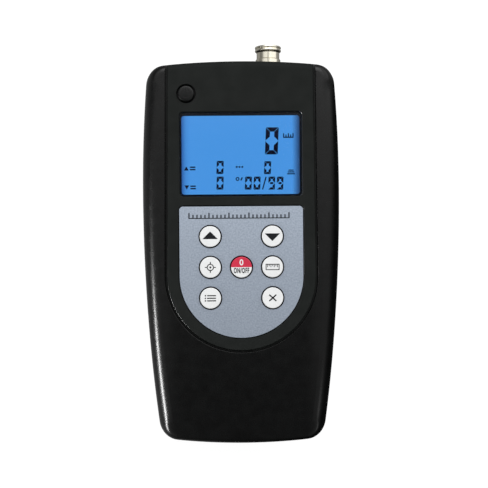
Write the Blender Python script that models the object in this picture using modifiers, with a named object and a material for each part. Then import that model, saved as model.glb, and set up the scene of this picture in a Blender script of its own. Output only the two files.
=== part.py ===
"""Coating thickness gauge, built as the real one is: a case in two moulded halves with a display,
seven keys and a power button on its front, a threaded probe socket on its top end, and a battery
bay with a sliding door on its back.

Metres. +Z points out of the front face, +Y towards the probe socket and +X across the case. The
gauge lies on its back. Every piece is placed from the middle of the case's outline, and one empty
moves them all so that the origin is under the middle of the whole gauge, socket included.
"""

import math

import bmesh
import bpy
from mathutils import Matrix

# Outline of the case, seen from the front
BODY_LENGTH = 0.160
BODY_WIDTH = 0.0826
WIDEST_FROM_TOP = 0.054
UPPER_SIDE_RADIUS = 0.600
LOWER_SIDE_RADIUS = 0.750
TOP_END_RADIUS = 0.350
BOTTOM_END_RADIUS = 0.260
TOP_CORNER_RADIUS = 0.0085
BOTTOM_CORNER_RADIUS = 0.0075

# Depth and section of the case
FRONT_DEPTH = 0.017
REAR_DEPTH = 0.015
WALL = 0.0022
FRONT_EDGE_RADIUS = 0.006
FRONT_END_EDGE_RADIUS = 0.0035
REAR_EDGE_RADIUS = 0.004
FLAT_HALF_WIDTH = 0.0265
SHOULDER_RADIUS = 0.060
GRIP_LENGTH = 0.040
GRIP_RADIUS = 0.300
LIP_THICKNESS = 0.001
LIP_HEIGHT = 0.0015
GAP = 0.0003

# Groove that runs down both sides of the front and round the keypad
GROOVE_WIDTH = 0.0009
GROOVE_DEPTH = 0.0008
GROOVE_OUTSIDE_LABEL = 0.0055
GROOVE_LEAN = 0.0007

# Display
OPENING_FROM_TOP = 0.02255
OPENING_WIDTH = 0.0500
OPENING_LENGTH = 0.0345
OPENING_CORNER_RADIUS = 0.0016
OPENING_CHAMFER = 0.0006
WINDOW_FLANGE = 0.0022
WINDOW_LIP = 0.0010
WINDOW_THICKNESS = 0.0012
GLASS_THICKNESS = 0.0028
GLASS_FLANGE = 0.0012
BACKLIGHT_THICKNESS = 0.0023
FRAME_WALL = 0.0010

# Keypad
LABEL_HALF_WIDTH = 0.0254
LABEL_BELOW_OPENING = 0.00405
LABEL_SIDE_LENGTH = 0.0286
LABEL_CORNER_RADIUS = 0.0019
LABEL_THICKNESS = 0.0005
LABEL_POCKET = 0.0008
KEY_DIAMETER = 0.0088
KEY_CLEARANCE = 0.0004
KEY_FLANGE = 0.0010
KEY_PROUD = 0.0009
KEY_TRAVEL = 0.0006
KEY_EDGE_RADIUS = 0.0004
KEY_COLUMN_SPACE = 0.0039
KEY_ROW_SPACE = 0.0038
KEYS_ABOVE_ARC = 0.0036
POWER_FROM_SIDE = 0.0178
POWER_FROM_TOP = 0.0150
POWER_DIAMETER = 0.0071
POWER_CLEARANCE = 0.00035
POWER_FLANGE = 0.0007
POWER_PROUD = 0.0007

# Circuit board and what it carries
BOARD_BELOW_FRONT = 0.0097
BOARD_THICKNESS = 0.0016
BOARD_CLEARANCE = 0.0022
BOARD_FROM_TOP = 0.0120
BOARD_SCREW_FROM_SIDE = 0.0090
BOARD_SCREW_FROM_END = 0.0033
BOARD_BOSS_RADIUS = 0.0022
BOARD_SCREW_RADIUS = 0.0008
BOARD_SCREW_HEAD_RADIUS = 0.0019
BOARD_SCREW_HEAD_HEIGHT = 0.0013
BOARD_SCREW_LENGTH = 0.0060
MAT_THICKNESS = 0.0010
MAT_MARGIN = 0.0030
MAT_TOP_MARGIN = 0.0010
DOME_RADIUS = 0.0040
DOME_TOP_RADIUS = 0.0030
CONTROLLER_SIZE = 0.0100
SIGNAL_CHIP_WIDTH = 0.0050
SIGNAL_CHIP_LENGTH = 0.0066
CHIP_THICKNESS = 0.0014
BUZZER_RADIUS = 0.0060
BUZZER_HEIGHT = 0.0050
BUZZER_MOUTH_RADIUS = 0.0015
BUZZER_MOUTH_DEPTH = 0.0025

# Probe socket
SOCKET_X = 0.0119
SOCKET_STANDOUT = 0.0072
SOCKET_RIM_RADIUS = 0.00555
SOCKET_RIM_HEIGHT = 0.0027
SOCKET_NECK_RADIUS = 0.00485
SOCKET_SHOULDER_RADIUS = 0.00525
SOCKET_SHOULDER_HEIGHT = 0.0020
SOCKET_THREAD_PITCH = 0.0012
SOCKET_THREAD_DEPTH = 0.0003
SOCKET_BORE_RADIUS = 0.0042
SOCKET_TAIL_RADIUS = 0.0046
SOCKET_TAIL_LENGTH = 0.0095
INSERT_RECESS = 0.0050
INSERT_LENGTH = 0.0110
INSERT_HOLES = 4
INSERT_HOLE_RADIUS = 0.00047
INSERT_HOLE_DEPTH = 0.0028
NUT_RADIUS = 0.0070
NUT_THICKNESS = 0.0025
WASHER_RADIUS = 0.0068
WASHER_THICKNESS = 0.0006

# Batteries and their bay, from the lower end of the case
CELL_COUNT = 4
CELL_RADIUS = 0.00525
CELL_LENGTH = 0.0445
CELL_NUB_RADIUS = 0.0019
CELL_NUB_HEIGHT = 0.0008
CELL_CRIMP = 0.0004
CELL_SPACING = 0.0003
BAY_FROM_END = 0.0042
BAY_WALL = 0.0012
CONTACT_THICKNESS = 0.0004
CONTACT_WIDTH = 0.0080
CONTACT_HEIGHT = 0.0085
SPRING_LENGTH = 0.0036
SPRING_RADIUS = 0.0028
SPRING_WIRE_RADIUS = 0.0003
SPRING_TURNS = 3
SPRING_TAPER = 0.45
DOOR_LEDGE = 0.0017
DOOR_RAIL_THICKNESS = 0.0010
DOOR_GRIP_RIBS = 5
GRIP_RIB_RADIUS = 0.00055
GRIP_RIB_PITCH = 0.0022
GRIP_RIB_LENGTH = 0.0176
GRIP_FROM_END = 0.0088

# Case screws
CASE_SCREW_FROM_SIDE = 0.0075
CASE_SCREW_FROM_TOP = 0.0160
CASE_SCREW_ABOVE_BAY = 0.0010
CASE_SCREW_RADIUS = 0.0013
CASE_SCREW_HEAD_RADIUS = 0.0027
CASE_SCREW_HEAD_HEIGHT = 0.0022
CASE_SCREW_SINK = 0.0060
CASE_SCREW_BITE = 0.0080
CASE_BOSS_RADIUS = 0.0035
CASE_TOWER_WALL = 0.0012
SCREW_CROWN_SHARE = 0.8
SCREW_RECESS_SHARE = 0.4

# How finely curved surfaces are divided
SIDE_STEPS = 7
END_STEPS = 6
CORNER_STEPS = 5
EDGE_STEPS = 4
ROUND_STEPS = 24
KEY_STEPS = 20
SMALL_ROUND_STEPS = 16
SCREW_STEPS = 12

# Heights and places that follow from the sizes above
BODY_DEPTH = FRONT_DEPTH + REAR_DEPTH
PARTING_Z = REAR_DEPTH
TOP_Y = BODY_LENGTH / 2
BOTTOM_Y = -BODY_LENGTH / 2
WIDEST_Y = TOP_Y - WIDEST_FROM_TOP
GRIP_TOP_Y = BOTTOM_Y + GRIP_LENGTH
WALL_ROOT = 0.8 * WALL
WINDOW_Y = TOP_Y - OPENING_FROM_TOP - OPENING_LENGTH / 2
LABEL_TOP_Y = WINDOW_Y - OPENING_LENGTH / 2 - LABEL_BELOW_OPENING
LABEL_ARC_Y = LABEL_TOP_Y - LABEL_SIDE_LENGTH
GROOVE_ARC_RADIUS = LABEL_HALF_WIDTH + GROOVE_OUTSIDE_LABEL
GROOVE_TOP_HALF_WIDTH = GROOVE_ARC_RADIUS - GROOVE_LEAN
KEY_COLUMN = KEY_DIAMETER + KEY_COLUMN_SPACE
KEY_PITCH = KEY_DIAMETER + KEY_ROW_SPACE
KEY_MIDDLE_Y = LABEL_ARC_Y + KEYS_ABOVE_ARC
MAT_TOP_Y = KEY_MIDDLE_Y + KEY_PITCH + DOME_RADIUS + MAT_TOP_MARGIN
MAT_BOTTOM_Y = KEY_MIDDLE_Y - KEY_PITCH - DOME_RADIUS - MAT_MARGIN
GLASS_HALF_WIDTH = OPENING_WIDTH / 2 + GLASS_FLANGE
GLASS_HALF_LENGTH = OPENING_LENGTH / 2 + GLASS_FLANGE
FRAME_BOTTOM_Y = WINDOW_Y - GLASS_HALF_LENGTH - GAP - FRAME_WALL
INNER_FRONT_Z = BODY_DEPTH - WALL
WINDOW_POCKET_Z = BODY_DEPTH - WINDOW_LIP
WINDOW_TOP_Z = WINDOW_POCKET_Z - GAP
GLASS_TOP_Z = WINDOW_TOP_Z - WINDOW_THICKNESS - GAP
LABEL_FLOOR_Z = BODY_DEPTH - LABEL_POCKET
LABEL_BOTTOM_Z = LABEL_FLOOR_Z + GAP
BOARD_TOP_Z = BODY_DEPTH - BOARD_BELOW_FRONT
BOARD_BOTTOM_Z = BOARD_TOP_Z - BOARD_THICKNESS
BOARD_TOP_Y = TOP_Y - BOARD_FROM_TOP
BOARD_SCREW_UPPER_Y = FRAME_BOTTOM_Y - 2 * BOARD_BOSS_RADIUS
BOARD_SCREW_LOWER_Y = MAT_BOTTOM_Y - 2 * BOARD_BOSS_RADIUS
BOARD_BOTTOM_Y = BOARD_SCREW_LOWER_Y - BOARD_SCREW_FROM_END
FLANGE_TOP_Z = INNER_FRONT_Z - GAP
CELL_Z = WALL + GAP + CELL_RADIUS
CELL_PITCH = 2 * CELL_RADIUS + CELL_SPACING
BAY_HALF_WIDTH = CELL_COUNT * CELL_PITCH / 2 + GAP
BAY_BOTTOM_Y = BOTTOM_Y + BAY_FROM_END
BAY_LENGTH = CELL_LENGTH + SPRING_LENGTH + 2 * CONTACT_THICKNESS + 5 * GAP
BAY_TOP_Y = BAY_BOTTOM_Y + BAY_LENGTH
BAY_CEILING_Z = CELL_Z + CELL_RADIUS + GAP
DOOR_HALF_WIDTH = BAY_HALF_WIDTH + DOOR_LEDGE / 2
CHANNEL_HALF_WIDTH = DOOR_HALF_WIDTH + GAP + DOOR_LEDGE
CHANNEL_TOP_Z = WALL + GAP + DOOR_RAIL_THICKNESS + GAP
CASE_SCREW_SEAT_Z = CASE_SCREW_SINK + CASE_SCREW_HEAD_HEIGHT + GAP
CASE_TOWER_RADIUS = CASE_SCREW_HEAD_RADIUS + GAP + CASE_TOWER_WALL
KEY_PLACES = {
    "key_up": (-KEY_COLUMN, 1),
    "key_down": (KEY_COLUMN, 1),
    "key_calibrate": (-KEY_COLUMN, 0),
    "key_zero": (0, 0),
    "key_unit": (KEY_COLUMN, 0),
    "key_read": (-KEY_COLUMN, -1),
    "key_delete": (KEY_COLUMN, -1),
}


def clear_scene():
    for obj in list(bpy.data.objects):
        bpy.data.objects.remove(obj, do_unlink=True)


def new_collection(name):
    collection = bpy.data.collections.new(name)
    bpy.context.scene.collection.children.link(collection)
    return collection


clear_scene()
PARTS = new_collection("coating_thickness_gauge")
CUTTERS = new_collection("cutters")
CUTTERS.hide_render = True

GAUGE = bpy.data.objects.new("gauge", None)
GAUGE.location = (0, -SOCKET_STANDOUT / 2, 0)
PARTS.objects.link(GAUGE)


def material(name, color, roughness, metallic=0.0, alpha=1.0):
    made = bpy.data.materials.new(name)
    made.use_nodes = True
    shader = made.node_tree.nodes["Principled BSDF"]
    shader.inputs["Base Color"].default_value = (*color, 1)
    shader.inputs["Roughness"].default_value = roughness
    shader.inputs["Metallic"].default_value = metallic
    shader.inputs["Alpha"].default_value = alpha
    made.diffuse_color = (*color, alpha)
    made.roughness = roughness
    return made


BLACK_PLASTIC = material("black_plastic", (0.018, 0.019, 0.018), 0.45)
SILVER_OVERLAY = material("silver_overlay", (0.33, 0.37, 0.43), 0.45, 0.2)
CLEAR_PLASTIC = material("clear_plastic", (0.85, 0.88, 0.92), 0.05, alpha=0.25)
BLUE_DISPLAY = material("blue_display", (0.07, 0.31, 0.80), 0.2)
WHITE_PLASTIC = material("white_plastic", (0.85, 0.85, 0.83), 0.4)
RED_PLASTIC = material("red_plastic", (0.70, 0.05, 0.10), 0.4)
BLACK_BUTTON = material("black_button", (0.012, 0.013, 0.012), 0.35)
NICKEL = material("nickel", (0.72, 0.69, 0.62), 0.22, 1.0)
DARK_INSULATOR = material("dark_insulator", (0.02, 0.02, 0.02), 0.5)
BOARD_GREEN = material("board_green", (0.02, 0.16, 0.06), 0.4)
CHIP_BLACK = material("chip_black", (0.015, 0.015, 0.016), 0.5)
GREY_RUBBER = material("grey_rubber", (0.22, 0.22, 0.23), 0.8)
SPRING_STEEL = material("spring_steel", (0.62, 0.62, 0.60), 0.3, 1.0)
SCREW_STEEL = material("screw_steel", (0.50, 0.50, 0.50), 0.35, 1.0)
CELL_SLEEVE = material("cell_sleeve", (0.10, 0.11, 0.13), 0.35, 0.5)


def shade(mesh, angle=35):
    mesh.shade_smooth()
    mesh.set_sharp_from_angle(angle=math.radians(angle))


def place(name, bm, finish=None, at=(0, 0, 0)):
    """A new object from a bmesh: a piece of the gauge, or a cutter where no finish is given."""
    bmesh.ops.remove_doubles(bm, verts=bm.verts, dist=1e-7)
    bmesh.ops.recalc_face_normals(bm, faces=bm.faces)
    mesh = bpy.data.meshes.new(name)
    bm.to_mesh(mesh)
    bm.free()
    obj = bpy.data.objects.new(name, mesh)
    obj.location = at
    obj.parent = GAUGE
    if finish:
        mesh.materials.append(finish)
        shade(mesh)
        PARTS.objects.link(obj)
    else:
        obj.display_type = "WIRE"
        obj.hide_render = True
        CUTTERS.objects.link(obj)
    return obj


def combine(obj, operation, others):
    for other in others:
        modifier = obj.modifiers.new(f"{operation.lower()} {other.name}", "BOOLEAN")
        modifier.operation = operation
        modifier.solver = "EXACT"
        modifier.object = other


def box_mesh(low, high):
    bm = bmesh.new()
    size = [b - a for a, b in zip(low, high)]
    middle = [(a + b) / 2 for a, b in zip(low, high)]
    bmesh.ops.create_cube(bm, size=1, matrix=Matrix.Translation(middle) @ Matrix.Diagonal((*size, 1)))
    return bm


def rounded_box_mesh(width, length, low_z, high_z, corner, middle=(0, 0), steps=4):
    """A box whose four upright edges are rounded."""
    x, y = middle
    bm = box_mesh((x - width / 2, y - length / 2, low_z), (x + width / 2, y + length / 2, high_z))
    upright = [e for e in bm.edges if abs(e.verts[0].co.z - e.verts[1].co.z) > 1e-6]
    bmesh.ops.bevel(bm, geom=upright, offset=corner, segments=steps, profile=0.5, affect="EDGES")
    return bm


def cylinder_mesh(radius, low_z, high_z, middle=(0, 0), steps=SMALL_ROUND_STEPS, top_radius=None):
    bm = bmesh.new()
    bmesh.ops.create_cone(
        bm,
        cap_ends=True,
        segments=steps,
        radius1=radius,
        radius2=radius if top_radius is None else top_radius,
        depth=high_z - low_z,
        matrix=Matrix.Translation((*middle, (low_z + high_z) / 2)),
    )
    return bm


def turned(name, profile, finish, at=(0, 0, 0), ring=False, steps=ROUND_STEPS):
    """A turned piece: (radius, height) points down its outer side, spun round its own Z axis."""
    mesh = bpy.data.meshes.new(name)
    points = [(radius, 0, height) for radius, height in profile]
    edges = [(i, i + 1) for i in range(len(points) - 1)]
    if ring:
        edges.append((len(points) - 1, 0))
    mesh.from_pydata(points, edges, [])
    mesh.materials.append(finish)
    obj = bpy.data.objects.new(name, mesh)
    obj.location = at
    obj.parent = GAUGE
    PARTS.objects.link(obj)
    spin = obj.modifiers.new("turn", "SCREW")
    spin.steps = spin.render_steps = steps
    spin.use_merge_vertices = True
    spin.merge_threshold = 1e-5
    spin.use_smooth_shade = True
    return obj


def smooth_step(value):
    t = max(0.0, min(1.0, value))
    return t * t * (3 - 2 * t)


def sagitta(radius, distance):
    """How far an arc of this radius falls away at a distance from its crest."""
    return radius - math.sqrt(max(0.0, radius**2 - distance**2))


def side_x(y):
    """Half the width of the case at y, on its two long side arcs."""
    radius = UPPER_SIDE_RADIUS if y > WIDEST_Y else LOWER_SIDE_RADIUS
    return BODY_WIDTH / 2 - sagitta(radius, y - WIDEST_Y)


def top_y(x):
    return TOP_Y - sagitta(TOP_END_RADIUS, x)


def bottom_y(x):
    return BOTTOM_Y + sagitta(BOTTOM_END_RADIUS, x)


def corner_point(end_y):
    """Where a side arc meets an end arc, before the corner is rounded."""
    x = BODY_WIDTH / 2
    for _ in range(8):
        y = end_y(x)
        x = side_x(y)
    return x, y


def outline_face(bm, z):
    """The outline of the case as one flat face, with its four corners rounded."""
    right_top, high_y = corner_point(top_y)
    right_bottom, low_y = corner_point(bottom_y)
    points = []
    for step in range(SIDE_STEPS):
        y = low_y + (high_y - low_y) * step / SIDE_STEPS
        points.append((side_x(y), y))
    for step in range(END_STEPS):
        x = right_top * (1 - 2 * step / END_STEPS)
        points.append((x, top_y(x)))
    for step in range(SIDE_STEPS):
        y = high_y + (low_y - high_y) * step / SIDE_STEPS
        points.append((-side_x(y), y))
    for step in range(END_STEPS):
        x = -right_bottom * (1 - 2 * step / END_STEPS)
        points.append((x, bottom_y(x)))
    verts = [bm.verts.new((x, y, z)) for x, y in points]
    bm.faces.new(verts)
    corners = {
        TOP_CORNER_RADIUS: (verts[SIDE_STEPS], verts[SIDE_STEPS + END_STEPS]),
        BOTTOM_CORNER_RADIUS: (verts[0], verts[2 * SIDE_STEPS + END_STEPS]),
    }
    for radius, pair in corners.items():
        bmesh.ops.bevel(
            bm, geom=list(pair), offset=radius, segments=CORNER_STEPS, profile=0.5, affect="VERTICES"
        )
    bm.faces.ensure_lookup_table()
    return bm.faces[0]


def push_face(bm, face, rise=0.0, scale=(1, 1), about=(0, 0), keep_base=False):
    """Extrudes one face, moves it by rise and scales it in its plane. Returns the new face."""
    made = bmesh.ops.extrude_face_region(bm, geom=[face])["geom"]
    top = next(g for g in made if isinstance(g, bmesh.types.BMFace))
    if not keep_base:
        bmesh.ops.delete(bm, geom=[face], context="FACES_ONLY")
    for vert in top.verts:
        vert.co.x = about[0] + (vert.co.x - about[0]) * scale[0]
        vert.co.y = about[1] + (vert.co.y - about[1]) * scale[1]
        vert.co.z += rise
    return top


def inset_face(bm, face, distance):
    bmesh.ops.inset_region(
        bm, faces=[face], thickness=distance, depth=0, use_even_offset=True, use_boundary=True
    )
    return face


def edge_radius_at(y, inset):
    """The front edge is rounded generously along the sides and more tightly along the two ends."""
    into_corner = (abs(y) + inset - (TOP_Y - TOP_CORNER_RADIUS)) / TOP_CORNER_RADIUS
    return FRONT_EDGE_RADIUS + (FRONT_END_EDGE_RADIUS - FRONT_EDGE_RADIUS) * smooth_step(into_corner)


def front_height(x, y, inset):
    """Height of the front face at a point that lies this far inside the outline."""
    height = BODY_DEPTH
    height -= sagitta(SHOULDER_RADIUS, max(0.0, abs(x) - FLAT_HALF_WIDTH))
    height -= sagitta(GRIP_RADIUS, max(0.0, GRIP_TOP_Y - y))
    radius = edge_radius_at(y, inset)
    return height - sagitta(radius, max(0.0, radius - inset))


def plan_key(vert):
    return round(vert.co.x, 6), round(vert.co.y, 6)


def move_ring_to_flat(face, share):
    """Moves the innermost ring a share of the way to the border of the flat part of the front."""
    reach = max(vert.co.x for vert in face.verts)
    high = max(vert.co.y for vert in face.verts)
    low = min(vert.co.y for vert in face.verts)
    flat_high = TOP_Y - FRONT_EDGE_RADIUS - 2 * GAP
    new_reach = reach + share * (FLAT_HALF_WIDTH - reach)
    new_high = high + share * (flat_high - high)
    new_low = low + share * (GRIP_TOP_Y - low)
    for vert in face.verts:
        vert.co.x *= new_reach / reach
        vert.co.y = new_low + (vert.co.y - low) * (new_high - new_low) / (high - low)


def inset_of(x, y):
    """Distance from a point on the front to the nearest side or end of the outline."""
    return max(0.0, min(side_x(y) - abs(x), top_y(x) - y, y - bottom_y(x)))


def front_form():
    """The outside of the front half: walls, rounded edge, sloping shoulders and a flat middle."""
    bm = bmesh.new()
    face = outline_face(bm, PARTING_Z + GAP / 2)
    face = push_face(bm, face, rise=FRONT_DEPTH, keep_base=True)
    inset_at = {plan_key(vert): 0.0 for vert in face.verts}
    before = 0.0
    for step in range(1, EDGE_STEPS + 1):
        inset = FRONT_EDGE_RADIUS * (1 - math.cos(math.pi / 2 * step / EDGE_STEPS))
        face = inset_face(bm, face, inset - before)
        before = inset
        inset_at.update({plan_key(vert): inset for vert in face.verts})
    for share in (0.5, 1.0):
        face = push_face(bm, face)
        move_ring_to_flat(face, share)
        inset_at.update({plan_key(vert): FRONT_EDGE_RADIUS for vert in face.verts})
    for vert in bm.verts:
        if vert.co.z > PARTING_Z + FRONT_DEPTH / 2:
            vert.co.z = front_height(vert.co.x, vert.co.y, inset_at[plan_key(vert)])
    return bm


def rear_form():
    """The outside of the rear half: a flat back with one rounding all round."""
    bm = bmesh.new()
    face = outline_face(bm, PARTING_Z - GAP / 2)
    face = push_face(bm, face, rise=REAR_EDGE_RADIUS - (PARTING_Z - GAP / 2), keep_base=True)
    before = 0.0
    for step in range(1, EDGE_STEPS + 1):
        angle = math.pi / 2 * step / EDGE_STEPS
        inset = REAR_EDGE_RADIUS * (1 - math.cos(angle))
        face = inset_face(bm, face, inset - before)
        before = inset
        for vert in face.verts:
            vert.co.z = REAR_EDGE_RADIUS * (1 - math.sin(angle))
    return bm


def as_shell(name, bm, joint_z):
    """Opens a closed half at the joint and gives it a wall that grows inwards."""
    bmesh.ops.recalc_face_normals(bm, faces=bm.faces)
    joint = [f for f in bm.faces if all(abs(v.co.z - joint_z) < 1e-6 for v in f.verts)]
    bmesh.ops.delete(bm, geom=joint, context="FACES_ONLY")
    mesh = bpy.data.meshes.new(name)
    bm.to_mesh(mesh)
    bm.free()
    mesh.materials.append(BLACK_PLASTIC)
    shade(mesh)
    obj = bpy.data.objects.new(name, mesh)
    obj.parent = GAUGE
    PARTS.objects.link(obj)
    wall = obj.modifiers.new("wall", "SOLIDIFY")
    wall.thickness = WALL
    wall.offset = -1
    wall.use_even_offset = True
    wall.use_rim = True
    return obj


def u_outline(half_width, top, corner):
    """Points of the keypad's U: a rounded corner, the right side, half a circle and the left side."""
    upper = []
    for step in range(CORNER_STEPS):
        angle = math.pi / 2 * (1 - step / (CORNER_STEPS - 1))
        x = half_width - corner + corner * math.cos(angle)
        upper.append((x, top - corner + corner * math.sin(angle)))
    arc = []
    for step in range(ROUND_STEPS + 1):
        angle = -math.pi * step / ROUND_STEPS
        arc.append((half_width * math.cos(angle), LABEL_ARC_Y + half_width * math.sin(angle)))
    return upper + arc + [(-x, y) for x, y in reversed(upper)]


def plate_mesh(points, low_z, high_z):
    bm = bmesh.new()
    face = bm.faces.new([bm.verts.new((x, y, low_z)) for x, y in points])
    push_face(bm, face, rise=high_z - low_z, keep_base=True)
    return bm


def groove_cutter():
    """A band along the U of the groove, whose floor keeps its depth below the front face."""
    beyond = TOP_Y + GROOVE_WIDTH
    slope = GROOVE_LEAN / (TOP_Y - LABEL_ARC_Y)
    path = []
    stations = [TOP_Y - FRONT_EDGE_RADIUS * k / 4 for k in range(5)] + [TOP_Y / 2, TOP_Y / 4]
    for y in [beyond] + stations:
        path.append((GROOVE_TOP_HALF_WIDTH + (TOP_Y - y) * slope, y, 1, 0))
    for step in range(ROUND_STEPS + 1):
        angle = -math.pi * step / ROUND_STEPS
        x = GROOVE_ARC_RADIUS * math.cos(angle)
        y = LABEL_ARC_Y + GROOVE_ARC_RADIUS * math.sin(angle)
        path.append((x, y, math.cos(angle), math.sin(angle)))
    path += [(-x, y, -nx, ny) for x, y, nx, ny in reversed(path[: len(stations) + 1])]
    bm = bmesh.new()
    loops = []
    half = GROOVE_WIDTH / 2
    for x, y, nx, ny in path:
        floor = front_height(x, y, inset_of(x, min(y, TOP_Y))) - GROOVE_DEPTH
        above = BODY_DEPTH + WALL
        section = [(-half, floor), (half, floor), (half, above), (-half, above)]
        loops.append([bm.verts.new((x + nx * off, y + ny * off, z)) for off, z in section])
    for first, second in zip(loops, loops[1:]):
        for k in range(4):
            bm.faces.new((first[k], first[k - 1], second[k - 1], second[k]))
    bm.faces.new(loops[0])
    bm.faces.new(loops[-1])
    return place("groove_cutter", bm)


def opening_cutter():
    """The display opening, with a chamfer round its front edge."""
    bm = rounded_box_mesh(
        OPENING_WIDTH,
        OPENING_LENGTH,
        INNER_FRONT_Z - WALL,
        BODY_DEPTH - OPENING_CHAMFER,
        OPENING_CORNER_RADIUS,
        (0, WINDOW_Y),
    )
    top = max(bm.faces, key=lambda f: f.calc_center_median().z)
    flare = 2 * (OPENING_CHAMFER + WALL)
    wider = (1 + flare / OPENING_WIDTH, 1 + flare / OPENING_LENGTH)
    push_face(bm, top, OPENING_CHAMFER + WALL, wider, (0, WINDOW_Y))
    return place("opening_cutter", bm)


def window_pocket_cutter():
    bm = rounded_box_mesh(
        OPENING_WIDTH + 2 * (WINDOW_FLANGE + GAP),
        OPENING_LENGTH + 2 * (WINDOW_FLANGE + GAP),
        INNER_FRONT_Z - WALL,
        WINDOW_POCKET_Z,
        OPENING_CORNER_RADIUS,
        (0, WINDOW_Y),
    )
    return place("window_pocket_cutter", bm)


def key_place(name):
    x, row = KEY_PLACES[name]
    return x, KEY_MIDDLE_Y + row * KEY_PITCH


def power_place():
    y = TOP_Y - POWER_FROM_TOP
    return POWER_FROM_SIDE - side_x(y), y


def case_screw_places():
    """Two screws near the top end and two just above the battery bay, along the sides."""
    upper_y = TOP_Y - CASE_SCREW_FROM_TOP
    lower_y = BAY_TOP_Y + BAY_WALL + CASE_TOWER_RADIUS + CASE_SCREW_ABOVE_BAY
    return [(side * (side_x(y) - CASE_SCREW_FROM_SIDE), y) for y in (upper_y, lower_y) for side in (-1, 1)]


def board_half_width():
    """Half the board's width, which keeps clear of the case's side walls at both of its ends."""
    return min(side_x(BOARD_TOP_Y), side_x(BOARD_BOTTOM_Y)) - WALL - BOARD_CLEARANCE


def board_screw_places():
    x = board_half_width() - BOARD_SCREW_FROM_SIDE
    return [(side * x, y) for y in (BOARD_SCREW_UPPER_Y, BOARD_SCREW_LOWER_Y) for side in (-1, 1)]


def on_socket_axis(obj):
    """Turns a piece made round +Z so that it points out of the top end."""
    obj.location = (SOCKET_X, top_y(SOCKET_X), PARTING_Z)
    obj.rotation_euler = (-math.pi / 2, 0, 0)
    return obj


def socket_wall_inside():
    """Height of the end wall's inner face on the socket's axis, with a gap, where 0 is its outside."""
    return -(WALL + GAP + top_y(SOCKET_X) - top_y(SOCKET_X + NUT_RADIUS))


def socket_hole_cutter(name):
    bm = cylinder_mesh(SOCKET_TAIL_RADIUS + GAP, -4 * WALL, 4 * WALL, steps=ROUND_STEPS)
    return on_socket_axis(place(name, bm))


def make_front_cover():
    cover = as_shell("front_cover", front_form(), PARTING_Z + GAP / 2)
    bosses = []
    cuts = []
    boss_low = PARTING_Z + GAP / 2
    for index, (x, y) in enumerate(case_screw_places(), 1):
        high = front_height(x, y, inset_of(x, y)) - WALL / 2
        bosses.append(place(f"case_boss_{index}", cylinder_mesh(CASE_BOSS_RADIUS, boss_low, high, (x, y))))
        pilot = cylinder_mesh(CASE_SCREW_RADIUS + GAP, 0, boss_low + CASE_SCREW_BITE + GAP, (x, y))
        cuts.append(place(f"case_pilot_{index}", pilot))
    for index, (x, y) in enumerate(board_screw_places(), 1):
        high = front_height(x, y, inset_of(x, y)) - WALL / 2
        low = BOARD_TOP_Z + GAP
        bosses.append(place(f"board_boss_{index}", cylinder_mesh(BOARD_BOSS_RADIUS, low, high, (x, y))))
        tip = BOARD_BOTTOM_Z - GAP + BOARD_SCREW_LENGTH + GAP
        pilot = cylinder_mesh(BOARD_SCREW_RADIUS + GAP, 0, tip, (x, y), steps=SCREW_STEPS)
        cuts.append(place(f"board_pilot_{index}", pilot))
    combine(cover, "UNION", bosses)
    pocket = u_outline(LABEL_HALF_WIDTH + GAP, LABEL_TOP_Y + GAP, LABEL_CORNER_RADIUS + GAP)
    cuts.append(place("label_pocket_cutter", plate_mesh(pocket, LABEL_FLOOR_Z, BODY_DEPTH + WALL)))
    cuts += [groove_cutter(), opening_cutter(), window_pocket_cutter()]
    cuts.append(socket_hole_cutter("front_socket_hole"))
    for name in KEY_PLACES:
        hole = cylinder_mesh(
            KEY_DIAMETER / 2 + KEY_CLEARANCE, BOARD_TOP_Z, BODY_DEPTH + WALL, key_place(name), ROUND_STEPS
        )
        cuts.append(place(f"{name}_hole", hole))
    hole = cylinder_mesh(
        POWER_DIAMETER / 2 + POWER_CLEARANCE,
        INNER_FRONT_Z - WALL,
        BODY_DEPTH + WALL,
        power_place(),
        ROUND_STEPS,
    )
    cuts.append(place("power_hole", hole))
    combine(cover, "DIFFERENCE", cuts)
    return cover


def inset_outline_face(bm, z, distance):
    """A flat face that keeps this distance inside the outline of the case."""
    face = inset_face(bm, outline_face(bm, z), distance)
    rim = [f for f in bm.faces if f is not face]
    bmesh.ops.delete(bm, geom=rim, context="FACES")
    bm.faces.ensure_lookup_table()
    return bm.faces[0]


def core_form():
    """The inside of the case, rooted in the rear half's walls and clear of the front half's."""
    bm = bmesh.new()
    low = WALL / 2
    step = PARTING_Z - 1.5 * LIP_HEIGHT
    face = inset_outline_face(bm, low, WALL_ROOT)
    face = push_face(bm, face, rise=step - low, keep_base=True)
    face = inset_face(bm, face, WALL + GAP + LIP_THICKNESS / 2 - WALL_ROOT)
    push_face(bm, face, rise=FRONT_DEPTH)
    return place("core_form", bm)


def lip_ring():
    """The ring inside the rear half that laps into the front half and hides the joint."""
    bm = bmesh.new()
    root = WALL / 2
    outer = WALL + GAP
    inner = outer + LIP_THICKNESS
    low = PARTING_Z - 2 * LIP_HEIGHT
    middle = PARTING_Z - LIP_HEIGHT
    high = PARTING_Z + LIP_HEIGHT
    face = inset_outline_face(bm, low, root)
    face = push_face(bm, face, rise=middle - low, keep_base=True)
    face = inset_face(bm, face, outer - root)
    face = push_face(bm, face, rise=high - middle)
    face = inset_face(bm, face, inner - outer)
    face = push_face(bm, face, rise=low - high)
    bottom = [f for f in bm.faces if all(abs(v.co.z - low) < 1e-7 for v in f.verts)]
    bmesh.ops.delete(bm, geom=bottom, context="FACES_ONLY")
    rims = [e for e in bm.edges if e.is_boundary]
    bmesh.ops.bridge_loops(bm, edges=rims)
    return place("lip_ring", bm)


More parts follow.
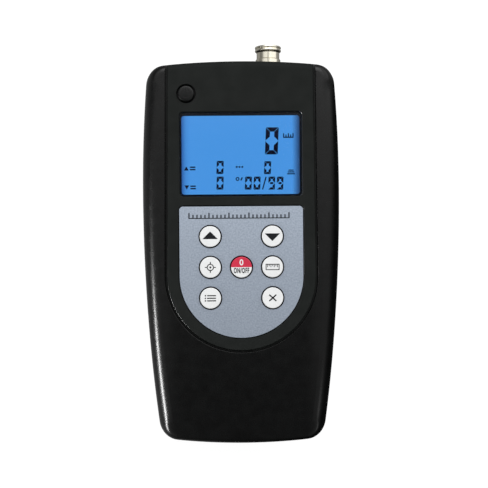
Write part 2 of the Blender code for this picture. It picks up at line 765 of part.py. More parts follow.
def make_rear_cover():
    cover = as_shell("rear_cover", rear_form(), PARTING_Z - GAP / 2)
    cuts = []
    outer_half = BAY_HALF_WIDTH + BAY_WALL
    block_half = CHANNEL_HALF_WIDTH + BAY_WALL
    bay_high = (outer_half, BAY_TOP_Y + BAY_WALL, BAY_CEILING_Z + BAY_WALL)
    bay_block = place("bay_block", box_mesh((-outer_half, BOTTOM_Y - WALL, WALL + GAP), bay_high))
    channel_high = (block_half, BAY_TOP_Y + BAY_WALL - GAP, CHANNEL_TOP_Z + BAY_WALL)
    channel_block = place("channel_block", box_mesh((-block_half, BOTTOM_Y - WALL, 0), channel_high))
    core = core_form()
    for block in (bay_block, channel_block):
        combine(block, "INTERSECT", [core])
    lip = lip_ring()
    nut_space = cylinder_mesh(NUT_RADIUS + GAP, -SOCKET_TAIL_LENGTH, WALL, steps=ROUND_STEPS)
    combine(lip, "DIFFERENCE", [on_socket_axis(place("nut_space", nut_space))])
    joins = [channel_block, bay_block, lip]
    cuts.append(
        place(
            "bay_cutter",
            box_mesh((-BAY_HALF_WIDTH, BAY_BOTTOM_Y, WALL), (BAY_HALF_WIDTH, BAY_TOP_Y, BAY_CEILING_Z)),
        )
    )
    cuts.append(
        place(
            "channel_cutter",
            box_mesh(
                (-CHANNEL_HALF_WIDTH, BOTTOM_Y - WALL, WALL),
                (CHANNEL_HALF_WIDTH, BAY_TOP_Y - GAP / 2, CHANNEL_TOP_Z),
            ),
        )
    )
    cuts.append(
        place(
            "door_opening_cutter",
            box_mesh(
                (-DOOR_HALF_WIDTH - GAP, BOTTOM_Y - WALL, -WALL),
                (DOOR_HALF_WIDTH + GAP, BAY_TOP_Y - GAP, WALL + GAP / 2),
            ),
        )
    )
    for index, (x, y) in enumerate(case_screw_places(), 1):
        top = PARTING_Z - GAP / 2
        joins.append(place(f"tower_{index}", cylinder_mesh(CASE_TOWER_RADIUS, WALL / 2, top, (x, y))))
        sink = cylinder_mesh(CASE_SCREW_HEAD_RADIUS + GAP, -WALL, CASE_SCREW_SEAT_Z, (x, y))
        cuts.append(place(f"screw_sink_{index}", sink))
        through = cylinder_mesh(CASE_SCREW_RADIUS + GAP, 0, BODY_DEPTH, (x, y))
        cuts.append(place(f"screw_way_{index}", through))
        notch = cylinder_mesh(CASE_BOSS_RADIUS + GAP, PARTING_Z, BODY_DEPTH, (x, y))
        cuts.append(place(f"lip_notch_{index}", notch))
    cuts.append(socket_hole_cutter("rear_socket_hole"))
    combine(cover, "UNION", joins)
    combine(cover, "DIFFERENCE", cuts)
    return cover


def make_battery_door():
    """A plate that keeps the form of the case's lower end, with a rail along each side."""
    end = BAY_TOP_Y - 2 * GAP
    rail_half = CHANNEL_HALF_WIDTH - GAP
    rail_low = WALL + GAP
    rail_high = rail_low + DOOR_RAIL_THICKNESS
    section = [
        (-DOOR_HALF_WIDTH, -WALL),
        (DOOR_HALF_WIDTH, -WALL),
        (DOOR_HALF_WIDTH, rail_low),
        (rail_half, rail_low),
        (rail_half, rail_high),
        (-rail_half, rail_high),
        (-rail_half, rail_low),
        (-DOOR_HALF_WIDTH, rail_low),
    ]
    bm = bmesh.new()
    beyond = BOTTOM_Y - WALL
    face = bm.faces.new([bm.verts.new((x, beyond, z)) for x, z in section])
    made = bmesh.ops.extrude_face_region(bm, geom=[face])["geom"]
    far = [g for g in made if isinstance(g, bmesh.types.BMVert)]
    bmesh.ops.translate(bm, verts=far, vec=(0, end - beyond, 0))
    door = place("battery_door", bm, BLACK_PLASTIC)
    form = place("door_form", rear_form())
    hollow_low = BAY_BOTTOM_Y - BAY_WALL - GAP
    hollow = box_mesh((-BAY_HALF_WIDTH, hollow_low, WALL), (BAY_HALF_WIDTH, TOP_Y, BODY_DEPTH))
    combine(door, "INTERSECT", [form])
    combine(door, "DIFFERENCE", [place("door_hollow", hollow)])
    grip_cuts = []
    for rib in range(DOOR_GRIP_RIBS):
        y = end - GRIP_FROM_END - rib * GRIP_RIB_PITCH
        bm = cylinder_mesh(GRIP_RIB_RADIUS, -GRIP_RIB_LENGTH / 2, GRIP_RIB_LENGTH / 2, steps=8)
        cut = place(f"grip_rib_{rib + 1}", bm, at=(0, y, 0))
        cut.rotation_euler = (0, math.pi / 2, 0)
        grip_cuts.append(cut)
    combine(door, "DIFFERENCE", grip_cuts)
    return door


def make_label():
    points = u_outline(LABEL_HALF_WIDTH, LABEL_TOP_Y, LABEL_CORNER_RADIUS)
    bm = plate_mesh(points, LABEL_BOTTOM_Z, LABEL_BOTTOM_Z + LABEL_THICKNESS)
    label = place("panel_label", bm, SILVER_OVERLAY)
    holes = []
    for name in KEY_PLACES:
        radius = KEY_DIAMETER / 2 + KEY_CLEARANCE
        bm = cylinder_mesh(radius, LABEL_FLOOR_Z, BODY_DEPTH + WALL, key_place(name), ROUND_STEPS)
        holes.append(place(f"label_hole_{name}", bm))
    combine(label, "DIFFERENCE", holes)
    return label


def make_display():
    bm = rounded_box_mesh(
        OPENING_WIDTH + 2 * WINDOW_FLANGE,
        OPENING_LENGTH + 2 * WINDOW_FLANGE,
        WINDOW_TOP_Z - WINDOW_THICKNESS,
        WINDOW_TOP_Z,
        OPENING_CORNER_RADIUS - GAP,
        (0, WINDOW_Y),
    )
    place("display_window", bm, CLEAR_PLASTIC)
    half_x = GLASS_HALF_WIDTH
    glass_low = GLASS_TOP_Z - GLASS_THICKNESS
    back_high = glass_low - GAP
    back_low = back_high - BACKLIGHT_THICKNESS
    low_y = WINDOW_Y - GLASS_HALF_LENGTH
    high_y = WINDOW_Y + GLASS_HALF_LENGTH
    place("lcd_glass", box_mesh((-half_x, low_y, glass_low), (half_x, high_y, GLASS_TOP_Z)), BLUE_DISPLAY)
    shelf = low_y + FRAME_WALL + 2 * GAP + FRAME_WALL
    light = box_mesh((-half_x, shelf, back_low), (half_x, high_y, back_high))
    place("lcd_backlight", light, WHITE_PLASTIC)
    strip = box_mesh(
        (-half_x + FRAME_WALL, low_y + FRAME_WALL / 2, BOARD_TOP_Z + GAP),
        (half_x - FRAME_WALL, low_y + FRAME_WALL / 2 + FRAME_WALL, glass_low - GAP),
    )
    place("zebra_strip", strip, GREY_RUBBER)
    frame_low = BOARD_TOP_Z + GAP
    outer = box_mesh(
        (-half_x - GAP - FRAME_WALL, FRAME_BOTTOM_Y, frame_low),
        (half_x + GAP + FRAME_WALL, high_y + GAP + FRAME_WALL, GLASS_TOP_Z),
    )
    inner = box_mesh(
        (-half_x - GAP, low_y - GAP, 0),
        (half_x + GAP, high_y + GAP, 2 * BODY_DEPTH),
    )
    frame = place("lcd_frame", outer, WHITE_PLASTIC)
    combine(frame, "DIFFERENCE", [place("frame_inside", inner)])


def cap_profile(radius, top, flange_radius):
    """Down the outside of a key cap: domed edge, straight side, flange and flat underside."""
    points = [(0, top)]
    for step in range(3):
        angle = math.pi / 2 * (1 - step / 2)
        points.append(
            (
                radius - KEY_EDGE_RADIUS + KEY_EDGE_RADIUS * math.cos(angle),
                top - KEY_EDGE_RADIUS + KEY_EDGE_RADIUS * math.sin(angle),
            )
        )
    points += [(radius, FLANGE_TOP_Z), (flange_radius, FLANGE_TOP_Z)]
    points += [(flange_radius, FLANGE_TOP_Z - KEY_FLANGE), (0, FLANGE_TOP_Z - KEY_FLANGE)]
    return points


def make_keys():
    label_top = LABEL_BOTTOM_Z + LABEL_THICKNESS
    radius = KEY_DIAMETER / 2
    profile = cap_profile(radius, label_top + KEY_PROUD, radius + KEY_CLEARANCE + KEY_FLANGE)
    for name in KEY_PLACES:
        finish = RED_PLASTIC if name == "key_zero" else WHITE_PLASTIC
        turned(name, profile, finish, at=(*key_place(name), 0), steps=KEY_STEPS)
    radius = POWER_DIAMETER / 2
    profile = cap_profile(radius, BODY_DEPTH + POWER_PROUD, radius + POWER_CLEARANCE + POWER_FLANGE)
    turned("power_button", profile, BLACK_BUTTON, at=(*power_place(), 0), steps=KEY_STEPS)


def dome_mesh(x, y):
    """One raised button of the rubber mat, ending clear of a fully pressed cap."""
    low = BOARD_TOP_Z + GAP + MAT_THICKNESS / 2
    high = FLANGE_TOP_Z - KEY_FLANGE - KEY_TRAVEL - GAP
    return cylinder_mesh(DOME_RADIUS, low, high, (x, y), top_radius=DOME_TOP_RADIUS)


def make_key_mats():
    low = BOARD_TOP_Z + GAP
    half = KEY_COLUMN + DOME_RADIUS + MAT_MARGIN
    sheet = box_mesh((-half, MAT_BOTTOM_Y, low), (half, MAT_TOP_Y, low + MAT_THICKNESS))
    mat = place("key_mat", sheet, GREY_RUBBER)
    domes = [place(f"dome_{name}", dome_mesh(*key_place(name))) for name in KEY_PLACES]
    combine(mat, "UNION", domes)
    x, y = power_place()
    reach = DOME_RADIUS + 2 * GAP
    small = box_mesh((x - reach, y - reach, low), (x + reach, y + reach, low + MAT_THICKNESS))
    power_mat = place("power_mat", small, GREY_RUBBER)
    combine(power_mat, "UNION", [place("dome_power", dome_mesh(x, y))])


def make_chip(name, middle, width, length):
    x, y = middle
    high = BOARD_BOTTOM_Z - GAP
    low_corner = (x - width / 2, y - length / 2, high - CHIP_THICKNESS)
    place(name, box_mesh(low_corner, (x + width / 2, y + length / 2, high)), CHIP_BLACK)


def make_board():
    half = board_half_width()
    sheet = box_mesh((-half, BOARD_BOTTOM_Y, BOARD_BOTTOM_Z), (half, BOARD_TOP_Y, BOARD_TOP_Z))
    board = place("circuit_board", sheet, BOARD_GREEN)
    cuts = []
    for index, (x, y) in enumerate(board_screw_places(), 1):
        hole = cylinder_mesh(BOARD_SCREW_RADIUS + GAP, 0, BODY_DEPTH, (x, y), steps=SCREW_STEPS)
        cuts.append(place(f"board_hole_{index}", hole))
    reach = CASE_BOSS_RADIUS + 2 * GAP
    for index, (x, y) in enumerate(case_screw_places(), 1):
        ends = sorted((x - math.copysign(reach, x), math.copysign(BODY_WIDTH, x)))
        notch = box_mesh((ends[0], y - reach, 0), (ends[1], y + reach, BODY_DEPTH))
        cuts.append(place(f"boss_notch_{index}", notch))
    combine(board, "DIFFERENCE", cuts)
    under = BOARD_BOTTOM_Z - GAP
    make_chip("controller_chip", (0, KEY_MIDDLE_Y), CONTROLLER_SIZE, CONTROLLER_SIZE)
    make_chip("signal_chip", (SOCKET_X, WINDOW_Y), SIGNAL_CHIP_WIDTH, SIGNAL_CHIP_LENGTH)
    profile = [
        (0, under),
        (BUZZER_RADIUS, under),
        (BUZZER_RADIUS, under - BUZZER_HEIGHT),
        (BUZZER_MOUTH_RADIUS, under - BUZZER_HEIGHT),
        (BUZZER_MOUTH_RADIUS, under - BUZZER_HEIGHT + BUZZER_MOUTH_DEPTH),
        (0, under - BUZZER_HEIGHT + BUZZER_MOUTH_DEPTH),
    ]
    turned("buzzer", profile, CHIP_BLACK, at=(-SOCKET_X, WINDOW_Y, 0), steps=SMALL_ROUND_STEPS)


def screw_profile(head_radius, head_height, shank_radius, length):
    """Down the outside of a screw that points up: point, shank, then the head with its recess."""
    recess = head_radius * SCREW_RECESS_SHARE
    floor = -head_height * SCREW_RECESS_SHARE
    return [
        (0, length),
        (shank_radius / 3, length - shank_radius),
        (shank_radius, length - 2 * shank_radius),
        (shank_radius, 0),
        (head_radius, 0),
        (head_radius, -head_height / 2),
        (head_radius * SCREW_CROWN_SHARE, -head_height),
        (recess, -head_height),
        (recess * SCREW_CROWN_SHARE, floor),
        (0, floor),
    ]


def make_screws():
    length = PARTING_Z - CASE_SCREW_SEAT_Z + GAP + CASE_SCREW_BITE
    profile = screw_profile(CASE_SCREW_HEAD_RADIUS, CASE_SCREW_HEAD_HEIGHT, CASE_SCREW_RADIUS, length)
    for index, (x, y) in enumerate(case_screw_places(), 1):
        at = (x, y, CASE_SCREW_SEAT_Z - GAP)
        turned(f"case_screw_{index}", profile, SCREW_STEEL, at=at, steps=SCREW_STEPS)
    profile = screw_profile(
        BOARD_SCREW_HEAD_RADIUS, BOARD_SCREW_HEAD_HEIGHT, BOARD_SCREW_RADIUS, BOARD_SCREW_LENGTH
    )
    for index, (x, y) in enumerate(board_screw_places(), 1):
        at = (x, y, BOARD_BOTTOM_Z - GAP)
        turned(f"board_screw_{index}", profile, SCREW_STEEL, at=at, steps=SCREW_STEPS)


def make_socket():
    """The socket's pieces, with height 0 on the outside of the case's end wall."""
    tip = SOCKET_STANDOUT + TOP_Y - top_y(SOCKET_X)
    rim_low = tip - SOCKET_RIM_HEIGHT
    root = SOCKET_RIM_RADIUS - SOCKET_THREAD_DEPTH
    profile = [(SOCKET_BORE_RADIUS, tip), (root, tip)]
    quarter = SOCKET_THREAD_PITCH / 4
    crest = tip - quarter
    while crest - 2 * quarter > rim_low:
        profile += [
            (SOCKET_RIM_RADIUS, crest),
            (SOCKET_RIM_RADIUS, crest - 2 * quarter),
            (root, crest - 3 * quarter),
        ]
        crest -= SOCKET_THREAD_PITCH
    tail_low = -SOCKET_TAIL_LENGTH
    step = tip - INSERT_RECESS
    profile += [
        (root, rim_low),
        (SOCKET_NECK_RADIUS, rim_low),
        (SOCKET_NECK_RADIUS, SOCKET_SHOULDER_HEIGHT),
        (SOCKET_SHOULDER_RADIUS, SOCKET_SHOULDER_HEIGHT),
        (SOCKET_SHOULDER_RADIUS, GAP),
        (SOCKET_TAIL_RADIUS, GAP),
        (SOCKET_TAIL_RADIUS, tail_low),
        (SOCKET_BORE_RADIUS - 2 * GAP, tail_low),
        (SOCKET_BORE_RADIUS - 2 * GAP, step),
        (SOCKET_BORE_RADIUS, step),
    ]
    on_socket_axis(turned("socket_shell", profile, NICKEL, ring=True))
    radius = SOCKET_BORE_RADIUS - 3 * GAP
    profile = [(0, step), (radius, step), (radius, step - INSERT_LENGTH), (0, step - INSERT_LENGTH)]
    insert = on_socket_axis(turned("socket_insert", profile, DARK_INSULATOR, steps=SMALL_ROUND_STEPS))
    holes = []
    for contact in range(INSERT_HOLES):
        angle = 2 * math.pi * (contact + 0.5) / INSERT_HOLES
        middle = (radius / 2 * math.cos(angle), radius / 2 * math.sin(angle))
        bm = cylinder_mesh(INSERT_HOLE_RADIUS, step - INSERT_HOLE_DEPTH, tip, middle, steps=8)
        holes.append(on_socket_axis(place(f"contact_hole_{contact + 1}", bm)))
    combine(insert, "DIFFERENCE", holes)
    inside = socket_wall_inside()
    clear = SOCKET_TAIL_RADIUS + GAP
    profile = [(WASHER_RADIUS, inside), (WASHER_RADIUS, inside - WASHER_THICKNESS)]
    profile += [(clear, inside - WASHER_THICKNESS), (clear, inside)]
    on_socket_axis(turned("socket_washer", profile, NICKEL, ring=True, steps=SMALL_ROUND_STEPS))
    high = inside - WASHER_THICKNESS - GAP
    nut = place("socket_nut", cylinder_mesh(NUT_RADIUS, high - NUT_THICKNESS, high, steps=6), NICKEL)
    hole = place("nut_hole", cylinder_mesh(clear, -SOCKET_TAIL_LENGTH, tip, steps=SMALL_ROUND_STEPS))
    combine(on_socket_axis(nut), "DIFFERENCE", [on_socket_axis(hole)])


def cell_x(index):
    return (index - (CELL_COUNT - 1) / 2) * CELL_PITCH


def make_batteries():
    """Cells in series, so that each points the other way from its neighbour."""
    profile = [
        (0, CELL_LENGTH),
        (CELL_NUB_RADIUS, CELL_LENGTH),
        (CELL_NUB_RADIUS, CELL_LENGTH - CELL_NUB_HEIGHT),
        (CELL_RADIUS - CELL_CRIMP, CELL_LENGTH - CELL_NUB_HEIGHT),
        (CELL_RADIUS, CELL_LENGTH - CELL_NUB_HEIGHT - CELL_CRIMP),
        (CELL_RADIUS, CELL_CRIMP),
        (CELL_RADIUS - CELL_CRIMP, 0),
        (0, 0),
    ]
    seat = CONTACT_THICKNESS + 2 * GAP
    for index in range(CELL_COUNT):
        cell = turned(f"battery_{index + 1}", profile, CELL_SLEEVE, steps=SMALL_ROUND_STEPS)
        if index % 2 == 0:
            cell.location = (cell_x(index), BAY_TOP_Y - seat - CELL_LENGTH, CELL_Z)
            cell.rotation_euler = (-math.pi / 2, 0, 0)
        else:
            cell.location = (cell_x(index), BAY_BOTTOM_Y + seat + CELL_LENGTH, CELL_Z)
            cell.rotation_euler = (math.pi / 2, 0, 0)


def spring_wire(name, x, wall_y, outward):
    """A conical contact spring, as a wire that starts inside its plate."""
    curve = bpy.data.curves.new(name, "CURVE")
    curve.dimensions = "3D"
    curve.bevel_depth = SPRING_WIRE_RADIUS
    curve.bevel_resolution = 0
    curve.use_fill_caps = True
    points = []
    steps = 8 * SPRING_TURNS
    reach = SPRING_LENGTH - SPRING_WIRE_RADIUS - CONTACT_THICKNESS / 2
    for step in range(steps + 1):
        share = step / steps
        angle = 2 * math.pi * SPRING_TURNS * share
        radius = SPRING_RADIUS * (1 - SPRING_TAPER * share)
        y = wall_y + outward * (CONTACT_THICKNESS / 2 + reach * share)
        points.append((x + radius * math.cos(angle), y, CELL_Z + radius * math.sin(angle)))
    spline = curve.splines.new("POLY")
    spline.points.add(len(points) - 1)
    for point, place_at in zip(spline.points, points):
        point.co = (*place_at, 1)
    tube = bpy.data.objects.new(name, curve)
    CUTTERS.objects.link(tube)
    bpy.context.view_layer.update()
    mesh = bpy.data.meshes.new_from_object(tube.evaluated_get(bpy.context.evaluated_depsgraph_get()))
    bpy.data.objects.remove(tube, do_unlink=True)
    bm = bmesh.new()
    bm.from_mesh(mesh)
    return place(f"{name}_wire", bm)


def make_contact(name, cells, at_top):
    """One contact plate: flat against a cell's nub, and with a spring against a cell's base."""
    outward = -1 if at_top else 1
    wall_y = (BAY_TOP_Y - GAP) if at_top else (BAY_BOTTOM_Y + GAP)
    low_x = cell_x(cells[0]) - CONTACT_WIDTH / 2
    high_x = cell_x(cells[-1]) + CONTACT_WIDTH / 2
    ends = sorted((wall_y, wall_y + outward * CONTACT_THICKNESS))
    bm = box_mesh(
        (low_x, ends[0], CELL_Z - CONTACT_HEIGHT / 2), (high_x, ends[1], CELL_Z + CONTACT_HEIGHT / 2)
    )
    plate = place(name, bm, SPRING_STEEL)
    springs = []
    for index in cells:
        nub_up = index % 2 == 0
        if nub_up != at_top:
            springs.append(spring_wire(f"spring_{index + 1}", cell_x(index), wall_y, outward))
    combine(plate, "UNION", springs)


def make_contacts():
    make_contact("contact_top_left", [0], True)
    make_contact("contact_top_middle", [1, 2], True)
    make_contact("contact_top_right", [3], True)
    make_contact("contact_bottom_left", [0, 1], False)
    make_contact("contact_bottom_right", [2, 3], False)


make_front_cover()
make_rear_cover()
make_battery_door()
make_label()
make_display()
make_keys()
make_key_mats()
make_board()
make_screws()
make_socket()
make_batteries()
make_contacts()
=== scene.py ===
# %% [markdown]
# # A coating thickness gauge, dressed for its photograph
# The solid gauge arrives as a frame: every case half, key, screw and battery is in place, in
# metres, with the gauge on its back and its face up along +Z. This lesson adds what a camera
# notices: rounded shells, printed marks, a lit display and good materials. Nothing in the frame
# is moved. A piece is either given a finish or covered by a finer one.

# %% Load the frame
from math import cos, hypot, pi, radians, sin, sqrt

import bmesh
import bpy
from mathutils import Matrix, Vector
from mathutils.geometry import intersect_sphere_sphere_2d


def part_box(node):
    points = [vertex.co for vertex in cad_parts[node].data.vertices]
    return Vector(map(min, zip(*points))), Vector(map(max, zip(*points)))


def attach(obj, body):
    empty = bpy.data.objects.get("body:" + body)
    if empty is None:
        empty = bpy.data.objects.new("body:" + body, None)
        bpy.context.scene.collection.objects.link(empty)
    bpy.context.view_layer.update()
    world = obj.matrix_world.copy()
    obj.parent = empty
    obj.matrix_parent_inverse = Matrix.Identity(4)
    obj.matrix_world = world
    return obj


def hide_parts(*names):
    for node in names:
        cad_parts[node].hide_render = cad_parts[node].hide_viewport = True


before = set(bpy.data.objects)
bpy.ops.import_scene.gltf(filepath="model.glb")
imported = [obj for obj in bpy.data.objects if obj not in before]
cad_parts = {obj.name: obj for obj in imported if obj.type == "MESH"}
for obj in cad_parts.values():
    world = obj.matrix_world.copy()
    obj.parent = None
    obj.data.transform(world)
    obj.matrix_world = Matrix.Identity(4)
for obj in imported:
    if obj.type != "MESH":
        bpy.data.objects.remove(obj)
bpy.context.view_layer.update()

print("nodes in the frame:", len(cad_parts))

# %% [markdown]
# Sizes are easier to check against a caliper in millimetres, while Blender works in metres here,
# so a one-line helper converts them. The main places are read from the frame.


# %% Sizes read from the frame
def mm(value):
    return value / 1000


def once(items):
    """Each item once, in the order of arrival, which a set wouldn't keep from run to run."""
    return list(dict.fromkeys(items))


FRONT_LOW, FRONT_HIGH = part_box("front_cover")
TOP_Y = FRONT_HIGH.y
BOTTOM_Y = FRONT_LOW.y
MIDDLE_Y = (TOP_Y + BOTTOM_Y) / 2
HALF_WIDTH = FRONT_HIGH.x
FACE_Z = FRONT_HIGH.z
print("case in mm:", round(2000 * HALF_WIDTH, 2), round(1000 * (TOP_Y - BOTTOM_Y), 2))

# %% [markdown]
# ## The camera
# The photograph looks straight down with a short telephoto lens. The sides of the case and the
# curve of the socket's rim give the distance. The body sits a little off the middle of the picture
# and is turned by less than half a degree, so the camera is moved and turned by as much, and the
# gauge stays square to its own axes.

# %% Camera
LENS = 71
CAMERA_HEIGHT = mm(425.5)
CAMERA_X = mm(1.1)
CAMERA_Y = mm(-0.25)
CAMERA_TURN = radians(-0.42)
CLIP_START = mm(10)

camera = bpy.data.objects.new("camera", bpy.data.cameras.new("camera"))
camera.data.lens = LENS
camera.data.clip_start = CLIP_START
camera.location = (CAMERA_X, CAMERA_Y, CAMERA_HEIGHT)
camera.rotation_euler = (0, 0, CAMERA_TURN)
bpy.context.scene.collection.objects.link(camera)
bpy.context.scene.camera = camera
bpy.context.scene.view_settings.view_transform = "Standard"
print("camera is", round(1000 * (CAMERA_HEIGHT - FACE_Z)), "mm above the face")

# %% [markdown]
# ## Floor and light
# The gauge was photographed on pure white. A floor lit until it clips would wash out the black
# case, so the white is given to the rays that see the floor, straight or through the lens. A share
# of diffuse floor keeps a faint shadow. Flags beside the gauge kept its silhouette dark, so glossy
# rays meet a dim floor on the lower right, and its diffuse part not at all.


# %% Helpers for node trees
def plug(tree, socket, value):
    """Gives an input a link or a plain value."""
    if isinstance(value, bpy.types.NodeSocket):
        tree.links.new(value, socket)
    else:
        socket.default_value = value


def add_node(tree, kind, settings=None, **inputs):
    """A node of this kind, with attributes from settings and values or links for its inputs."""
    node = tree.nodes.new(kind)
    for name, value in (settings or {}).items():
        setattr(node, name, value)
    for name, value in inputs.items():
        plug(tree, node.inputs[name.replace("_", " ")], value)
    return node


def calculate(tree, operation, result, *values):
    """The result of Math nodes that take in one number or socket after the other."""
    for value in values:
        node = add_node(tree, "ShaderNodeMath", {"operation": operation})
        plug(tree, node.inputs[0], result)
        plug(tree, node.inputs[1], value)
        result = node.outputs[0]
    return result


def spread(tree, value, low, high, to_low=0.0, to_high=1.0, kind="SMOOTHSTEP"):
    """A value carried from one range to another."""
    node = add_node(tree, "ShaderNodeMapRange", {"interpolation_type": kind}, Value=value,
                    From_Min=low, From_Max=high, To_Min=to_low, To_Max=to_high)
    return node.outputs["Result"]


def axes(tree, space="Object"):
    """The X, Y and Z of the place or direction being shaded."""
    place = add_node(tree, "ShaderNodeTexCoord").outputs[space]
    return list(add_node(tree, "ShaderNodeSeparateXYZ", Vector=place).outputs)


def looking(tree):
    """Whether a ray is glossy, and whether the camera sees along it, straight or through a lens."""
    rays = add_node(tree, "ShaderNodeLightPath").outputs
    bounces = calculate(tree, "ADD", rays["Diffuse Depth"], rays["Glossy Depth"])
    through = calculate(tree, "MULTIPLY", rays["Is Transmission Ray"],
                        calculate(tree, "LESS_THAN", bounces, 0.5))
    return rays["Is Glossy Ray"], calculate(tree, "MAXIMUM", rays["Is Camera Ray"], through)


def send(tree, output, kind, shaders, **inputs):
    """Joins two shaders with a node of this kind and sends them to the output."""
    both = add_node(tree, kind, **inputs)
    for socket, shader in zip(list(both.inputs)[-2:], shaders):
        tree.links.new(shader.outputs[0], socket)
    add_node(tree, output, Surface=both.outputs[0])


# %% Floor
FLOOR_REACH = 12.0
FLOOR_DROP = mm(0.1)
FLOOR_WHITE = 0.93
GLOSSY_BRIGHT = 0.35
GLOSSY_DARK = 0.02
BRIGHT_ASIDE = (mm(-30), mm(30))
BRIGHT_BEYOND = (mm(70), mm(90))
SHADOW_SHARE = 0.15
WHITE = (1, 1, 1, 1)

bm = bmesh.new()
bmesh.ops.create_circle(bm, cap_ends=True, segments=64, radius=FLOOR_REACH)
bmesh.ops.translate(bm, verts=bm.verts, vec=(0, 0, -FLOOR_DROP))
floor_mesh = bpy.data.meshes.new("floor")
bm.to_mesh(floor_mesh)
bm.free()
floor = bpy.data.objects.new("floor", floor_mesh)
bpy.context.scene.collection.objects.link(floor)

paper = bpy.data.materials.new("white_paper")
paper.use_nodes = True
tree = paper.node_tree
tree.nodes.clear()
mirrored, seen = looking(tree)
x, y, _ = axes(tree)
bright_side = calculate(tree, "MAXIMUM", spread(tree, x, *BRIGHT_ASIDE, 1.0, 0.0),
                        spread(tree, y, *BRIGHT_BEYOND))
level = spread(tree, bright_side, 0.0, 1.0, GLOSSY_DARK, GLOSSY_BRIGHT, "LINEAR")
glossy = calculate(tree, "MULTIPLY", mirrored, level)
strength = calculate(tree, "MULTIPLY", calculate(tree, "MAXIMUM", seen, glossy), FLOOR_WHITE)
white = add_node(tree, "ShaderNodeEmission", Color=WHITE, Strength=strength)
unmirrored = calculate(tree, "SUBTRACT", 1.0, mirrored)
share = calculate(tree, "MULTIPLY", unmirrored, SHADOW_SHARE)
diffuse = add_node(tree, "ShaderNodeBsdfDiffuse", Color=share)
send(tree, "ShaderNodeOutputMaterial", "ShaderNodeAddShader", (white, diffuse))
floor_mesh.materials.append(paper)
print("floor is", 2 * FLOOR_REACH, "m across")

# %% [markdown]
# The tones in the photograph say where the lamps stood. The face gets lighter towards the socket,
# so the main softbox and the bright part of the tent are beyond the top end. The long bright line
# on the lower left edge is a strip low on the left. It only makes reflections, and later it is
# linked to the front shell alone. The right silhouette is nearly black, so nothing stood there.

# %% World
SKY_BASE = 0.04
SKY_TOP_END = 0.75
SKY_SIDES = 0.4
SKY_TOP_RIGHT = 0.32
SKY_LOW = 0.2
SKY_TILT = 0.45
TOP_STARTS = (0.1, 0.22)
SIDES_START = (0.02, 0.28)
RIGHT_STARTS = (-0.6, 0.3)
UPPER_STARTS = (-0.1, 0.15)
BAND_STARTS = (0.15, 0.5)

world = bpy.data.worlds.new("studio")
world.use_nodes = True
tree = world.node_tree
tree.nodes.clear()
x, y, z = axes(tree, "Generated")
past_top = spread(tree, y, *TOP_STARTS)
lifted = calculate(tree, "ADD", z, calculate(tree, "MULTIPLY", past_top, x, SKY_TILT))
band = spread(tree, lifted, *BAND_STARTS, SKY_LOW, 1.0)
top_right = calculate(tree, "MULTIPLY", spread(tree, y, *UPPER_STARTS, 0.0, SKY_TOP_RIGHT),
                      spread(tree, x, *RIGHT_STARTS))
aside = calculate(tree, "MULTIPLY",
                  spread(tree, calculate(tree, "ABSOLUTE", x, 0.0), *SIDES_START),
                  calculate(tree, "ADD", top_right, SKY_SIDES))
above = calculate(tree, "ADD", calculate(tree, "MULTIPLY", past_top, SKY_TOP_END), SKY_BASE)
level = calculate(tree, "MULTIPLY", band, calculate(tree, "ADD", above, aside))
tent = add_node(tree, "ShaderNodeBackground", Color=WHITE, Strength=level)
backdrop = add_node(tree, "ShaderNodeBackground", Color=WHITE, Strength=1.0)
_, seen = looking(tree)
send(tree, "ShaderNodeOutputWorld", "ShaderNodeMixShader", (tent, backdrop), Fac=seen)
bpy.context.scene.world = world
print("studio world has", len(tree.nodes), "nodes")

# %% Softboxes
AIM = Vector((0, 0, mm(20)))
STRIP_SIZE = (0.32, 0.10)


def softbox(name, distance, azimuth, elevation, size, power):
    """An area lamp that looks at the gauge. Azimuth 0 is +X and 90 is +Y, in degrees."""
    turn, rise = radians(azimuth), radians(elevation)
    direction = Vector((cos(turn) * cos(rise), sin(turn) * cos(rise), sin(rise)))
    lamp = bpy.data.lights.new(name, "AREA")
    lamp.shape = "RECTANGLE"
    lamp.size, lamp.size_y = size
    lamp.energy = power
    holder = bpy.data.objects.new(name, lamp)
    holder.location = AIM + direction * distance
    holder.rotation_euler = direction.to_track_quat("Z", "Y").to_euler()
    bpy.context.scene.collection.objects.link(holder)
    return holder


softbox("top_softbox", 1.3, 84, 50, (1.2, 0.8), 9.0)
softbox("left_softbox", 0.55, 204, 20, STRIP_SIZE, 0.9)
left_strip = softbox("left_strip", 0.55, 206, 20, STRIP_SIZE, 5.3)
left_strip.visible_diffuse = False
softbox("right_fill", 1.2, 325, 30, (0.4, 0.3), 0.6)
print("softboxes:", [lamp.name for lamp in bpy.data.lights])

# %% [markdown]
# ## The shape of the case
# The case is two moulded shells. Seen from the front, each side is a long arc above the widest
# place and a flatter one below it, and each end is an arc too. Arcs that share a centre stay
# parallel, so a few radii, each less an inset, draw every ring of the rounded edge.

# %% Arcs of the outline
UPPER_SIDE = mm(600)
LOWER_SIDE = mm(750)
TOP_END = mm(350)
BOTTOM_END = mm(260)
TOP_CORNER = mm(8.2)
BOTTOM_CORNER = mm(8.7)
WIDEST_Y = TOP_Y - mm(54)


def sagitta(radius, distance):
    """How far an arc falls away from its crest at this distance."""
    return radius - sqrt(max(0.0, radius * radius - distance * distance))


def side_x(y):
    radius = UPPER_SIDE if y > WIDEST_Y else LOWER_SIDE
    return HALF_WIDTH - sagitta(radius, y - WIDEST_Y)


def inset_of(x, y):
    """How far a place on the front lies inside the nearest edge of the case."""
    top = TOP_Y - sagitta(TOP_END, x) - y
    bottom = y - BOTTOM_Y - sagitta(BOTTOM_END, x)
    return max(0.0, min(side_x(y) - abs(x), top, bottom))


